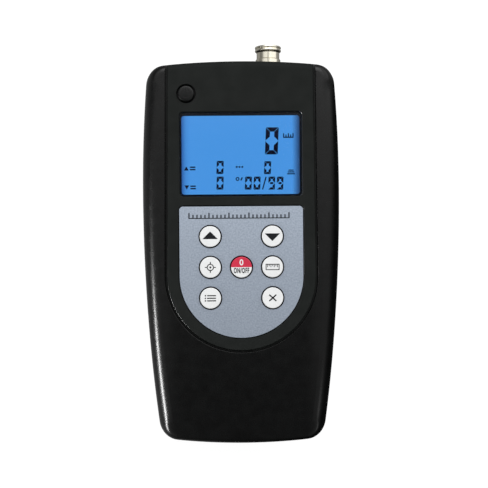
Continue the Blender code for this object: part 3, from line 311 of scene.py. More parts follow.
print("half width at the top end in mm:", round(1000 * side_x(TOP_Y), 2))

# %% [markdown]
# An outline is drawn as a turtle would: a vertex is extruded along the straight parts and spun
# round a centre for the arcs. Only the right half is drawn, and a mirror makes the left one, so the
# case can't come out lopsided.


# %% Drawing an outline
END_STEPS = 12
CORNER_STEPS = 10
SIDE_STEPS = 22
MIRROR_MERGE = 1e-6


def sweep(bm, vert, centre, target, steps):
    """Spins a vertex round a centre to the target, leaving an arc of edges behind it."""
    centre = Vector((*centre, vert.co.z))
    angle = -(vert.co - centre).xy.angle_signed(Vector(target) - centre.xy)
    last = bmesh.ops.spin(bm, geom=[vert], cent=centre, axis=(0, 0, 1), angle=angle, steps=steps)
    return last["geom_last"][0]


def draw_outline(bm, z, start, moves):
    """A closed, mirrored outline. A move is a target, with a centre and steps for an arc."""
    before = set(bm.verts)
    vert = bm.verts.new((*start, z))
    for target, centre, steps in moves:
        if centre is None:
            vert = bmesh.ops.extrude_vert_indiv(bm, verts=[vert])["verts"][0]
        else:
            vert = sweep(bm, vert, centre, target, steps)
        vert.co.xy = target
    half = [v for v in bm.verts if v not in before]
    edges = once(edge for v in half for edge in v.link_edges)
    bmesh.ops.mirror(bm, geom=half + edges, axis="X", merge_dist=MIRROR_MERGE)
    return [v for v in bm.verts if v not in before]


def fillet(end, end_radius, side, side_radius, radius):
    """Centre and touching points of the rounding between an end arc and a side arc."""
    crossings = intersect_sphere_sphere_2d(end, end_radius - radius, side, side_radius - radius)
    centre = max(crossings, key=lambda point: point.x)
    return centre, *(centre + (centre - other).normalized() * radius for other in (end, side))


def case_ring(bm, z, inset=0.0):
    """The outline of the case, this far inside its edge."""
    top = Vector((0, TOP_Y - TOP_END))
    bottom = Vector((0, BOTTOM_Y + BOTTOM_END))
    upper = Vector((HALF_WIDTH - UPPER_SIDE, WIDEST_Y))
    lower = Vector((HALF_WIDTH - LOWER_SIDE, WIDEST_Y))
    first, on_top, on_upper = fillet(top, TOP_END - inset, upper, UPPER_SIDE - inset,
                                     TOP_CORNER - inset)
    second, on_bottom, on_lower = fillet(bottom, BOTTOM_END - inset, lower, LOWER_SIDE - inset,
                                         BOTTOM_CORNER - inset)
    return draw_outline(bm, z, (0, TOP_Y - inset), [
        (on_top, top, END_STEPS),
        (on_upper, first, CORNER_STEPS),
        ((HALF_WIDTH - inset, WIDEST_Y), upper, SIDE_STEPS),
        (on_lower, lower, 2 * SIDE_STEPS),
        (on_bottom, second, CORNER_STEPS),
        ((0, BOTTOM_Y + inset), bottom, END_STEPS),
    ])


# %% Skinning rings
def ring_edges(ring):
    inside = set(ring)
    return once(e for v in ring for e in v.link_edges if e.other_vert(v) in inside)


def fill(bm, ring):
    return bmesh.ops.edgeloop_fill(bm, edges=ring_edges(ring))["faces"]


def loft(bm, rings, capped=True, closed=False):
    """Skins the rings in order. They stand on separate levels meanwhile, because Bridge pairs
    rings by the direction from one to the next, which two rings in one plane don't have."""
    heights = [[vert.co.z for vert in ring] for ring in rings]
    for level, ring in enumerate(rings):
        for vert in ring:
            vert.co.z = mm(10) * level
    for lower, upper in zip(rings, rings[1:] + (rings[:1] if closed else [])):
        bmesh.ops.bridge_loops(bm, edges=ring_edges(lower) + ring_edges(upper))
    for ring, levels in zip(rings, heights):
        for vert, z in zip(ring, levels):
            vert.co.z = z
    if capped:
        fill(bm, rings[0])
        fill(bm, rings[-1])


print("steps round half of the case:", 2 * (END_STEPS + CORNER_STEPS) + 3 * SIDE_STEPS)

# %% [markdown]
# Solid pieces are cut with the Boolean modifier. These helpers make pieces and cutters, apply the
# cuts, hang each piece under the moving body that carries it, give it its materials and hide the
# solids it covers. Normals are weighted by area, or else the small faces of a rounded edge would
# tilt the shading of the large flat one beside them and it would glow.


# %% Workshop helpers
SMOOTH_ANGLE = radians(30)
SAME_PLACE = 1e-7


def as_object(name, bm):
    """A bmesh with its doubles merged and its faces turned outwards, as a new object."""
    bmesh.ops.remove_doubles(bm, verts=bm.verts, dist=SAME_PLACE)
    bmesh.ops.recalc_face_normals(bm, faces=bm.faces)
    mesh = bpy.data.meshes.new(name)
    bm.to_mesh(mesh)
    bm.free()
    made = bpy.data.objects.new(name, mesh)
    bpy.context.scene.collection.objects.link(made)
    return made


def apply_modifiers(piece):
    depsgraph = bpy.context.evaluated_depsgraph_get()
    rough = piece.data
    evaluated = piece.evaluated_get(depsgraph)
    piece.data = bpy.data.meshes.new_from_object(evaluated, depsgraph=depsgraph)
    piece.modifiers.clear()
    bpy.data.meshes.remove(rough)


def carve(piece, *steps):
    """Applies boolean steps, each an operation with its tools, then throws the tools away."""
    for operation, tools in steps:
        for tool in tools:
            cut = piece.modifiers.new(operation, "BOOLEAN")
            cut.operation = operation
            cut.solver = "EXACT"
            cut.object = tool
    apply_modifiers(piece)
    for tool in {tool for _, tools in steps for tool in tools}:
        bpy.data.objects.remove(tool, do_unlink=True)


def finish(piece, body, finishes, replaces=()):
    """Shades a piece, gives it its materials, hangs it under its body and hides the solids it
    covers.
    """
    piece.data.materials.clear()
    for material in finishes:
        piece.data.materials.append(material)
    piece.data.shade_smooth()
    piece.data.set_sharp_from_angle(angle=SMOOTH_ANGLE)
    by_area = piece.modifiers.new("by_area", "WEIGHTED_NORMAL")
    by_area.keep_sharp = True
    apply_modifiers(piece)
    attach(piece, body)
    if replaces:
        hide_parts(*replaces)
    print(piece.name, "has", len(piece.data.polygons), "faces")


def stack(name, ring, levels):
    """A piece skinned over rings. Each level is a step outwards and a height."""
    bm = bmesh.new()
    loft(bm, [ring(bm, out, z) for out, z in levels])
    return as_object(name, bm)


# %% Shapes for pieces and cutters
def slab(half, low_y, high_y, low_z, high_z):
    """A box that reaches this far to both sides of the middle."""
    bm = bmesh.new()
    at = Matrix.Translation((0, (low_y + high_y) / 2, (low_z + high_z) / 2))
    size = Matrix.Diagonal((2 * half, high_y - low_y, high_z - low_z, 1))
    bmesh.ops.create_cube(bm, size=1, matrix=at @ size)
    return as_object("slab", bm)


def rod(at, radius, depth, top_radius=None, segments=64):
    """A cylinder on a matrix, or a cone where its top radius differs."""
    bm = bmesh.new()
    bmesh.ops.create_cone(bm, cap_ends=True, segments=segments, radius1=radius,
                          radius2=top_radius or radius, depth=depth, matrix=at)
    return as_object("rod", bm)


def round_tool(place, radius, low, high, top_radius=None):
    """An upright rod between two heights."""
    at = Matrix.Translation((place.x, place.y, (low + high) / 2))
    return rod(at, radius, high - low, top_radius)


def quarter_turn(place, axis):
    return Matrix.Translation(place) @ Matrix.Rotation(radians(90), 4, axis)


def rectangle(bm, width, length, corner, middle, z, steps=6):
    """The ring of a rounded rectangle, without its face."""
    before = set(bm.verts)
    at = Matrix.Translation((*middle, z)) @ Matrix.Diagonal((width, length, 1, 1))
    made = bmesh.ops.create_grid(bm, x_segments=1, y_segments=1, size=0.5, matrix=at)
    bmesh.ops.bevel(bm, geom=made["verts"], offset=corner, segments=steps, profile=0.5,
                    affect="VERTICES", material=-1)
    ring = [v for v in bm.verts if v not in before]
    faces = once(f for v in ring for f in v.link_faces)
    bmesh.ops.delete(bm, geom=faces, context="FACES_ONLY")
    return ring


def middle_of(node):
    low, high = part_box(node)
    return (low + high) / 2


print("display window is at y =", round(1000 * middle_of("display_window").y, 2), "mm")

# %% [markdown]
# ## Moulded black plastic
# Moulded plastic isn't one flat black. The tool is spark-eroded, so a fine grain scatters the
# highlight, and its depth wanders a little from place to place. A small noise bends the surface
# through a Bump node, and slow ones vary the colour and the roughness. Ink, rubber and metal are
# made by the same helper. The label's colour also gets a painted shade towards its lower end, which
# stands in for the light that falls off away from the top softbox.


# %% Procedural materials
COLOR_DRIFT = 180
GLOSS_DRIFT = 260
DRIFT_DETAIL = 3.0
GRAIN_DETAIL = 2.0
COLOR_STOPS = (0.35, 0.65)
GLOSS_STOPS = (0.3, 0.7)


def new_finish(name, color, roughness, metallic=0.0, specular=0.5):
    """A material, its node tree and its main shader."""
    made = bpy.data.materials.new(name)
    made.use_nodes = True
    made.diffuse_color = (*color, 1)
    shader = made.node_tree.nodes["Principled BSDF"]
    shader.inputs["Base Color"].default_value = (*color, 1)
    shader.inputs["Roughness"].default_value = roughness
    shader.inputs["Metallic"].default_value = metallic
    shader.inputs["Specular IOR Level"].default_value = specular
    return made, made.node_tree, shader


def noise(tree, scale, detail):
    """Noise on Object coordinates, with its scale in cells per metre."""
    place = add_node(tree, "ShaderNodeTexCoord").outputs["Object"]
    made = add_node(tree, "ShaderNodeTexNoise", Vector=place, Scale=scale, Detail=detail)
    return made.outputs["Fac"]


def wander(tree, shader, socket, low, high, scale):
    """Lets a shader value or colour drift between two limits across the surface."""
    drift = noise(tree, scale, DRIFT_DETAIL)
    if isinstance(low, tuple):
        ramp = add_node(tree, "ShaderNodeValToRGB", Fac=drift)
        for element, stop, color in zip(ramp.color_ramp.elements, COLOR_STOPS, (low, high)):
            element.position = stop
            element.color = (*color, 1)
        drift = ramp.outputs["Color"]
    else:
        drift = spread(tree, drift, *GLOSS_STOPS, low, high, "LINEAR")
    tree.links.new(drift, shader.inputs[socket])


def moulded(name, dark, light, roughness, cells, depth, specular=0.5, metallic=0.0,
            drift=COLOR_DRIFT):
    """Plastic, ink, rubber or metal: its colour and gloss drift, and it has a grain with this many
    cells to the metre and this depth in millimetres."""
    made, tree, shader = new_finish(name, dark, roughness[0], metallic, specular)
    wander(tree, shader, "Base Color", dark, light, drift)
    wander(tree, shader, "Roughness", *roughness, GLOSS_DRIFT)
    bump = add_node(tree, "ShaderNodeBump", Height=noise(tree, cells, GRAIN_DETAIL),
                    Distance=mm(depth), Strength=1.0)
    tree.links.new(bump.outputs["Normal"], shader.inputs["Normal"])
    return made


def paint_shade_toward(made, low_y, high_y, share):
    """Paints shade into a colour, darker evenly toward the lower of two heights on the face."""
    tree = made.node_tree
    socket = tree.nodes["Principled BSDF"].inputs["Base Color"]
    level = spread(tree, axes(tree)[1], low_y, high_y, share, 1.0, "LINEAR")
    scaled = add_node(tree, "ShaderNodeVectorMath", {"operation": "SCALE"},
                      Vector=socket.links[0].from_socket, Scale=level)
    tree.links.new(scaled.outputs[0], socket)


# %% [markdown]
# The case has a satin finish and the panel a matte one. The keys are white and red, their skirts
# nearly black as a painted shade for the gap round them, the marks nearly black, and the label is a
# metallic paint.

# %% Outer finishes
LABEL_LOW, LABEL_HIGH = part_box("panel_label")
LABEL_PAINTED_SHADE = 0.80
LABEL_DRIFT = 1500

satin_black = moulded("satin_black", (0.0014, 0.0015, 0.0015), (0.0022, 0.0024, 0.0024),
                      (0.24, 0.29), 3000, 0.006, 0.28)
matte_panel = moulded("matte_panel", (0.0125, 0.0140, 0.0132), (0.0150, 0.0165, 0.0157),
                      (0.50, 0.56), 4200, 0.015, 0.03)
silver_print = moulded("silver_print", (0.300, 0.345, 0.417), (0.386, 0.442, 0.524),
                       (0.42, 0.5), 6000, 0.004, 0.4, 0.3, LABEL_DRIFT)
# Painted shade: the label's colour darkens towards its lower end, where its light falls off.
paint_shade_toward(silver_print, LABEL_LOW.y, LABEL_HIGH.y, LABEL_PAINTED_SHADE)
key_white = moulded("key_white", (0.75, 0.76, 0.76), (0.79, 0.80, 0.80), (0.36, 0.44), 3500, 0.004)
key_red = moulded("key_red", (0.52, 0.012, 0.045), (0.60, 0.02, 0.06), (0.36, 0.44), 3500, 0.004)
button_black = moulded("button_black", (0.004, 0.0045, 0.0045), (0.006, 0.0065, 0.0065),
                       (0.26, 0.32), 3600, 0.004, 0.22)
lip_gloss = moulded("lip_gloss", (0.0045, 0.005, 0.005), (0.006, 0.0065, 0.0065),
                    (0.22, 0.28), 3600, 0.002)
# Painted shade: nearly black skirts stand in for the shade in the gap round each key.
key_gap_shade = moulded("key_gap_shade", (0.002, 0.002, 0.003), (0.003, 0.003, 0.004),
                    (0.5, 0.6), 3600, 0.004, 0.05)
# Dark ink for the printed marks, also used as painted shade on the label's border and walls.
ink_and_edge_shade = moulded("ink_and_edge_shade", (0.006, 0.007, 0.009), (0.010, 0.011, 0.014),
                   (0.5, 0.6), 5000, 0.003, 0.15)
symbol_black = moulded("symbol_black", (0.002, 0.002, 0.002), (0.003, 0.003, 0.003),
                       (0.45, 0.55), 5000, 0.003, 0.2)
print("finishes so far:", len(bpy.data.materials))

# %% [markdown]
# ## The front shell
# The front half is flat in the middle, falls away over the shoulders and towards the lower grip,
# and turns into its sides with an edge that is tighter at both ends. One rule gives the height of
# any place on the face. The rings of the edge are drawn level, skinned together and lifted to it.
# The walls lean in a little, as they must to leave the mould.

# %% Height of the face
EDGE_RADIUS = mm(6)
END_EDGE_RADIUS = mm(2.4)
EDGE_CHANGE = mm(8.5)
EDGE_RINGS = 10
EDGE_LAND = mm(0.15)
FLAT_HALF_WIDTH = mm(26.5)
SHOULDER_RADIUS = mm(60)
SHOULDER_STEP = mm(1.4)
GRIP_TOP_Y = BOTTOM_Y + mm(40)
GRIP_RADIUS = mm(300)
GRIP_STEP = mm(2.6)
CUT_LEAD = mm(0.2)
WALL = mm(2.2)
PARTING = mm(15)
GAP = mm(0.3)
SIDE_LEAN = mm(0.5)
TOP_LEAN = mm(1.5)
BOTTOM_LEAN = mm(1.1)
LEAN_HEIGHT = mm(12)
HALF_LENGTH = TOP_Y - MIDDLE_Y


def lean_in(vert):
    """Draws a vertex of the wall inwards with its height, more at the ends than at the sides."""
    share = max(0.0, min(1.0, (vert.co.z - PARTING) / LEAN_HEIGHT))
    reach = vert.co.y - MIDDLE_Y
    vert.co.x *= 1 - share * SIDE_LEAN / HALF_WIDTH
    vert.co.y -= share * (TOP_LEAN if reach > 0 else BOTTOM_LEAN) * reach / HALF_LENGTH


def face_height(x, y, inset, wall=0.0):
    """Height of the front this far inside the outline, on the outer or the inner wall."""
    toward_end = (abs(y - MIDDLE_Y) + inset - (HALF_LENGTH - EDGE_CHANGE)) / EDGE_CHANGE
    share = max(0.0, min(1.0, toward_end))
    radius = EDGE_RADIUS + (END_EDGE_RADIUS - EDGE_RADIUS) * share * share * (3 - 2 * share)
    height = FACE_Z - wall - sagitta(SHOULDER_RADIUS, max(0.0, abs(x) - FLAT_HALF_WIDTH))
    height -= sagitta(GRIP_RADIUS, max(0.0, GRIP_TOP_Y - y))
    return height - sagitta(radius - wall, min(radius - wall, max(0.0, radius - inset)))


def round_the_edge(radius, wall):
    """Insets and drops of the rings of a rounded edge, seen from inside the wall."""
    angles = [pi / 2 * k / EDGE_RINGS for k in range(EDGE_RINGS + 1)]
    inner = radius - wall
    rings = [(wall + inner * (1 - cos(a)), wall + inner * (1 - sin(a))) for a in angles]
    return rings + [(radius + EDGE_LAND, wall)]


def front_skin(bm, wall):
    """One side of the front half's wall, open at the joint. Returns its lowest ring."""
    start = set(bm.verts)
    low = PARTING + GAP / 2
    rings = [case_ring(bm, low, wall)]
    inset_at = {}
    for inset, _ in round_the_edge(EDGE_RADIUS, wall):
        rings.append(case_ring(bm, low + mm(1), inset))
        inset_at.update({tuple(vert.co.xy): inset for vert in rings[-1]})
    loft(bm, rings, capped=False)
    geom = fill(bm, rings[-1])
    geom += [e for f in geom for e in f.edges] + [v for f in geom for v in f.verts]
    shoulders = [FLAT_HALF_WIDTH - CUT_LEAD]
    shoulders += [FLAT_HALF_WIDTH + SHOULDER_STEP * k for k in range(7)]
    cuts = [((side * x, 0, 0), (1, 0, 0)) for x in shoulders for side in (-1, 1)]
    grip = [GRIP_TOP_Y + CUT_LEAD] + [GRIP_TOP_Y - GRIP_STEP * k for k in range(14)]
    cuts += [((0, y, 0), (0, 1, 0)) for y in grip]
    for place, normal in cuts:
        geom = bmesh.ops.bisect_plane(bm, geom=once(geom), plane_co=place, plane_no=normal,
                                      dist=mm(0.01))["geom"]
    for vert in set(bm.verts) - start - set(rings[0]):
        inset = inset_at.get(tuple(vert.co.xy), EDGE_RADIUS)
        vert.co.z = face_height(vert.co.x, vert.co.y, inset, wall)
        lean_in(vert)
    return rings[0]


bm = bmesh.new()
loft(bm, [front_skin(bm, 0.0), front_skin(bm, WALL)], capped=False)
front_shell = as_object("front_shell", bm)
print("front shell before its holes:", len(front_shell.data.polygons), "faces")

# %% [markdown]
# A fine groove runs down both sides and round under the keypad, the shadow line between the matte
# panel and the satin surround. Its tool is a cross-section whose lips flare, so that the cut comes
# out rounded. It starts under the keypad, spins a quarter turn, climbs the right side and is
# mirrored. Then the same height rule lays it on the face.

# %% The tool for the groove
LABEL_HALF = LABEL_HIGH.x
ARC_Y = LABEL_LOW.y + LABEL_HALF
GROOVE_ARC = LABEL_HALF + mm(5.5)
GROOVE_LEAN = mm(0.7)
GROOVE_CLIMB = TOP_Y - ARC_Y
GROOVE_SECTION = [(0, -1.2), (0.32, -1.17), (0.44, -1.0), (0.46, -0.3), (0.52, -0.14),
                  (0.63, -0.04), (0.78, 0.04), (0.78, 2)]
PANEL_MARGIN = mm(0.1)
TOP_STRETCH = mm(8)


def groove_tool():
    bm = bmesh.new()
    across = GROOVE_SECTION + [(-offset, z) for offset, z in reversed(GROOVE_SECTION[1:])]
    low_y = ARC_Y - GROOVE_ARC
    ring = [bm.verts.new((0, low_y - mm(offset), mm(z))) for offset, z in across]
    swept = bmesh.ops.spin(bm, geom=[bm.faces.new(ring)], cent=(0, ARC_Y, 0), axis=(0, 0, 1),
                           angle=pi / 2, steps=28)
    face = next(g for g in swept["geom_last"] if isinstance(g, bmesh.types.BMFace))
    climb = [ARC_Y + (GROOVE_CLIMB - TOP_STRETCH) * k / 8 for k in range(1, 9)]
    climb += [TOP_Y - TOP_STRETCH + mm(0.8) * k for k in range(1, 12)]
    here = ARC_Y
    for y in climb:
        made = bmesh.ops.extrude_face_region(bm, geom=[face])["geom"]
        bmesh.ops.delete(bm, geom=[face], context="FACES_ONLY")
        face = next(g for g in made if isinstance(g, bmesh.types.BMFace))
        step = y - here
        bmesh.ops.translate(bm, verts=list(face.verts),
                            vec=(-GROOVE_LEAN * step / GROOVE_CLIMB, step, 0))
        here = y
    open_start = [f for f in bm.faces if all(abs(v.co.x) < SAME_PLACE for v in f.verts)]
    bmesh.ops.delete(bm, geom=open_start, context="FACES_ONLY")
    bmesh.ops.mirror(bm, geom=bm.verts[:] + bm.edges[:] + bm.faces[:], axis="X",
                     merge_dist=MIRROR_MERGE)
    for vert in bm.verts:
        x, y = vert.co.xy
        vert.co.z += face_height(x, y, inset_of(x, min(y, TOP_Y)))
    return as_object("groove_tool", bm)


def inside_groove(place):
    """Whether a place lies on the panel that the groove goes round, or on the groove's near lip."""
    reach = GROOVE_ARC + PANEL_MARGIN
    if place.y < ARC_Y:
        return hypot(place.x, place.y - ARC_Y) < reach
    return abs(place.x) < reach - GROOVE_LEAN * (place.y - ARC_Y) / GROOVE_CLIMB


print("groove arc radius in mm:", round(1000 * GROOVE_ARC, 2))

# %% [markdown]
# The display opening, the label's pocket and the power button's hole have softly rounded lips.
# Each tool is a stack of rings that flare near the top the way the lip does. The panel inside the
# groove gets the matte finish, and those of its lips that face the lamps on the left a glossy one.

# %% Tools for the openings
WINDOW_LOW, WINDOW_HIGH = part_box("display_window")
WINDOW_SIZE = WINDOW_HIGH - WINDOW_LOW
WINDOW_MIDDLE = middle_of("display_window").xy
WINDOW_FLANGE = mm(2.2)
OPENING_CORNER = mm(1.6)
LIP_RADIUS = mm(0.6)
LIP_TURN = 76
LABEL_CORNER = mm(1.9)
POCKET_LIP = mm(0.2)
POWER_LIP = mm(0.25)
KEYS = ["key_up", "key_down", "key_calibrate", "key_zero", "key_unit", "key_read", "key_delete"]
KEY_HOLE = mm(4.8)
POWER_HOLE = mm(3.9)
SOCKET_HOLE = mm(4.9)
PANEL_Z = mm(26)
KEY_HOLE_FOOT = mm(22)
WINDOW_FOOT = mm(25)
TOOL_RISE = mm(2)
LIP_LEFT = -0.25
LIP_LEVEL = (0.2, 0.97)


def lip_steps(radius, count):
    """Outward and upward steps round a lip, up to just past the surface."""
    angles = [radians(LIP_TURN) * k / count for k in range(count + 1)]
    steps = [(radius * (1 - cos(a)), radius * (sin(a) - 1)) for a in angles]
    out, up = steps[-1]
    return steps + [(out + mm(0.4), up + mm(0.1)), (out + mm(0.4), TOOL_RISE)]


def flared_tool(ring, low, lip, count=3, room=0.0):
    """A cutter that starts at a height and flares at the surface, with room around its ring."""
    flare = [(room + out, FACE_Z + up) for out, up in lip_steps(lip, count)]
    return stack("flared_tool", ring, [(room, low)] + flare)


def window_ring(bm, out, z):
    width, length = (side - 2 * WINDOW_FLANGE + 2 * out for side in WINDOW_SIZE.xy)
    return rectangle(bm, width, length, OPENING_CORNER + out, WINDOW_MIDDLE, z)


def power_ring(bm, out, z):
    at = Matrix.Translation((*middle_of("power_button").xy, z))
    return bmesh.ops.create_circle(bm, segments=64, radius=POWER_HOLE + out, matrix=at)["verts"]


def u_ring(bm, out, z):
    """The keypad's U, wider or narrower about the same arc centre."""
    half, top, corner = LABEL_HALF + out, LABEL_HIGH.y + out, LABEL_CORNER + out
    return draw_outline(bm, z, (0, top), [
        ((half - corner, top), None, 0),
        ((half, top - corner), (half - corner, top - corner), 8),
        ((half, ARC_Y), None, 0),
        ((0, ARC_Y - half), (0, ARC_Y), 32),
    ])


def socket_tool():
    """The hole in the end wall that the socket goes through."""
    at = quarter_turn((middle_of("socket_shell").x, TOP_Y, PARTING), "X")
    return rod(at, SOCKET_HOLE, mm(18))


window_pocket = slab(WINDOW_HIGH.x + GAP, WINDOW_LOW.y - GAP, WINDOW_HIGH.y + GAP,
                     WINDOW_LOW.z - mm(6), WINDOW_HIGH.z + GAP)
cuts = [groove_tool(), flared_tool(window_ring, WINDOW_FOOT, LIP_RADIUS, 4),
        flared_tool(u_ring, LABEL_LOW.z - GAP, POCKET_LIP, room=GAP), window_pocket, socket_tool()]
cuts += [round_tool(middle_of(key), KEY_HOLE, KEY_HOLE_FOOT, FACE_Z + TOOL_RISE) for key in KEYS]
cuts.append(flared_tool(power_ring, PANEL_Z, POWER_LIP))
carve(front_shell, ("DIFFERENCE", cuts))
finish(front_shell, "housing", [satin_black, matte_panel, lip_gloss],
       ["front_cover"])
for face in front_shell.data.polygons:
    corners = [front_shell.data.vertices[index].co for index in face.vertices]
    if face.center.z > PANEL_Z and all(inside_groove(corner) for corner in corners):
        is_lip = face.normal.x < LIP_LEFT and LIP_LEVEL[0] < face.normal.z < LIP_LEVEL[1]
        face.material_index = 2 if is_lip else 1

strip_receivers = bpy.data.collections.new("strip_receivers")
strip_receivers.objects.link(front_shell)
left_strip.light_linking.receiver_collection = strip_receivers

# %% [markdown]
# ## The rear shell
# The back lies on the table, but it is as much a part of the gauge. It is flat with one rounding
# all round, a battery bay in its lower half and four sunk screws. Blocks for the bay and the screw
# towers are joined on first, then the bay, the door's opening and the sinks are cut out at once.

# %% Rear shell
REAR_RADIUS = mm(4)
DOOR_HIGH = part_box("battery_door")[1]
DOOR_HALF = mm(22.75)
BAY_HALF = mm(21.9)
BAY_LOW_Y = BOTTOM_Y + mm(4.2)
BAY_HIGH_Y = DOOR_HIGH.y + 2 * GAP
BAY_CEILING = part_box("battery_1")[1].z + GAP
BAY_WALL = mm(1.2)
CHANNEL_HALF = DOOR_HIGH.x + GAP
CHANNEL_TOP = DOOR_HIGH.z + GAP
CORE_INSET = 0.8 * WALL
SINK_RADIUS = mm(3.0)
SINK_FLARE = mm(0.6)
SINK_FLARE_Z = mm(0.5)
TOWER_RADIUS = mm(4.2)
SCREW_RADIUS = mm(1.6)
SEAT_Z = mm(8.5)


def rear_skin(bm, wall):
    """One side of the rear half's wall, open at the joint. Returns its highest ring."""
    rings = [case_ring(bm, PARTING - GAP / 2, wall)]
    for inset, z in round_the_edge(REAR_RADIUS, wall):
        rings.append(case_ring(bm, z, inset))
    loft(bm, rings, capped=False)
    fill(bm, rings[-1])
    return rings[0]


bm = bmesh.new()
loft(bm, [rear_skin(bm, 0.0), rear_skin(bm, WALL)], capped=False)
rear_shell = as_object("rear_shell", bm)

bm = bmesh.new()
loft(bm, [case_ring(bm, WALL / 2, CORE_INSET), case_ring(bm, PARTING + mm(3), CORE_INSET)])
core = as_object("core", bm)
bay_block = slab(BAY_HALF + BAY_WALL, BOTTOM_Y, BAY_HIGH_Y + BAY_WALL,
                 WALL + GAP, BAY_CEILING + BAY_WALL)
channel_block = slab(CHANNEL_HALF + BAY_WALL, BOTTOM_Y, BAY_HIGH_Y + BAY_WALL - GAP,
                     0, CHANNEL_TOP + BAY_WALL)
carve(bay_block, ("UNION", [channel_block]), ("INTERSECT", [core]))
joins = [bay_block]
cuts = [
    slab(BAY_HALF, BAY_LOW_Y, BAY_HIGH_Y, WALL, BAY_CEILING),
    slab(CHANNEL_HALF, BOTTOM_Y - WALL, BAY_HIGH_Y - GAP / 2, WALL, CHANNEL_TOP),
    slab(DOOR_HALF + GAP, BOTTOM_Y - WALL, BAY_HIGH_Y - GAP, -WALL, WALL + GAP / 2),
    socket_tool(),
]
for number in range(1, 5):
    place = middle_of(f"case_screw_{number}")
    joins.append(round_tool(place, TOWER_RADIUS, WALL / 2, PARTING - GAP / 2))
    cuts.append(round_tool(place, SINK_RADIUS, SINK_FLARE_Z, SEAT_Z))
    cuts.append(round_tool(place, SINK_RADIUS + SINK_FLARE, mm(-0.1), SINK_FLARE_Z, SINK_RADIUS))
    cuts.append(round_tool(place, SCREW_RADIUS, SEAT_Z - mm(1), PARTING + mm(2)))
carve(rear_shell, ("UNION", joins), ("DIFFERENCE", cuts))
finish(rear_shell, "housing", [satin_black], ["rear_cover"])

# %% [markdown]
# The battery door is a piece of the same rear form, so it can't stand proud of the case. It slides
# off towards the lower end on two rails, and a thumb grip of fine ribs is moulded into it.

# %% Battery door
GRIP_RIBS = 5
FIRST_RIB_Y = DOOR_HIGH.y - mm(8.8)
RIB_PITCH = mm(2.2)
RIB_RADIUS = mm(0.55)
RIB_LENGTH = mm(17.6)

bm = bmesh.new()
fill(bm, rear_skin(bm, 0.0))
door_panel = as_object("door_panel", bm)
keep = slab(DOOR_HALF, BOTTOM_Y - WALL, DOOR_HIGH.y, -WALL, WALL + GAP)
rails = slab(DOOR_HIGH.x, BOTTOM_Y - WALL, DOOR_HIGH.y, WALL + GAP, DOOR_HIGH.z)
carve(keep, ("UNION", [rails]))
hollow = slab(BAY_HALF, BAY_LOW_Y - BAY_WALL - GAP, TOP_Y, WALL, PARTING)
ribs = [rod(quarter_turn((0, FIRST_RIB_Y - rib * RIB_PITCH, 0), "Y"), RIB_RADIUS, RIB_LENGTH,
            segments=16) for rib in range(GRIP_RIBS)]
carve(door_panel, ("INTERSECT", [keep]), ("DIFFERENCE", [hollow] + ribs))
finish(door_panel, "battery_door", [satin_black], ["battery_door"])

# %% [markdown]
# ## Turned pieces
# Key caps, the power button and the socket are round, so each is a profile that is spun once about
# its axis. A full spin needs its seam merged, otherwise a crack runs down the piece.


# %% Spinning a profile
UPRIGHT = Vector((0, 0, 1))
LENGTHWISE = Vector((0, 1, 0))


def turned(bm, profile, middle, axis=UPRIGHT, steps=64, ring=False):
    """Spins (radius, height) points about an axis. The profile of a ring is closed."""
    middle = Vector(middle)
    points = [middle + Vector((radius, 0, 0)) + axis * height for radius, height in profile]
    verts = [bm.verts.new(points[0])]
    for point in points[1:]:
        verts.append(bmesh.ops.extrude_vert_indiv(bm, verts=[verts[-1]])["verts"][0])
        verts[-1].co = point
    edges = once(e for v in verts for e in v.link_edges)
    if ring:
        edges.append(bm.edges.new((verts[-1], verts[0])))
    bmesh.ops.spin(bm, geom=verts + edges, cent=middle, axis=axis, angle=2 * pi, steps=steps,
                   use_merge=True)


def rounding(centre, radius, steps=6):
    """Points on a profile's outer rounding, from its top to its side."""
    angles = [pi / 2 * (1 - k / steps) for k in range(steps + 1)]
    return [(centre[0] + radius * cos(a), centre[1] + radius * sin(a)) for a in angles]


# %% [markdown]
# The keys are white moulded caps that stand a little proud of the label. Their skirts get a nearly
# black painted shade, which stands in for the shade in the gap and draws the thin dark ring round
# each key. The middle key is red above a line through its middle and white below it, so its cap is
# cut along that line and given two colours.

# %% Key caps
KEY_RADIUS = mm(4.27)
KEY_EDGE = mm(0.3)
KEY_FLANGE = mm(5.8)
KEY_LOW, KEY_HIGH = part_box("key_up")
POWER_RADIUS = mm(3.3)
POWER_EDGE = mm(0.6)
POWER_FLANGE = mm(4.6)
POWER_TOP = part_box("power_button")[1].z
INK = mm(0.03)
FLANGE_Z = KEY_LOW.z + mm(1)
GAP_SHADE_Z = KEY_HIGH.z - mm(0.35)


def cap(node, top, radius, edge, flange):
    """A turned cap with a soft edge, and a flange that keeps it under the panel."""
    profile = [(0, top)] + rounding((radius - edge, top - edge), edge)
    profile += [(radius, top - 1.3 * edge), (radius, FLANGE_Z), (flange, FLANGE_Z),
                (flange, KEY_LOW.z), (0, KEY_LOW.z)]
    bm = bmesh.new()
    turned(bm, profile, (*middle_of(node).xy, 0))
    return bm


for key in KEYS:
    bm = cap(key, KEY_HIGH.z - INK, KEY_RADIUS, KEY_EDGE, KEY_FLANGE)
    middle = middle_of(key)
    two_tone = key == "key_zero"
    if two_tone:
        bmesh.ops.bisect_plane(bm, geom=bm.verts[:] + bm.edges[:] + bm.faces[:], plane_co=middle,
                               plane_no=(0, 1, 0), dist=SAME_PLACE)
    key_cap = as_object(key + "_cap", bm)
    colours = [key_white, key_gap_shade] + ([key_red] if two_tone else [])
    finish(key_cap, key, colours, [key])
    for face in key_cap.data.polygons:
        # Faces below this height take the painted gap shade.
        if face.center.z < GAP_SHADE_Z:
            face.material_index = 1
        elif two_tone and face.center.y > middle.y:
            face.material_index = 2

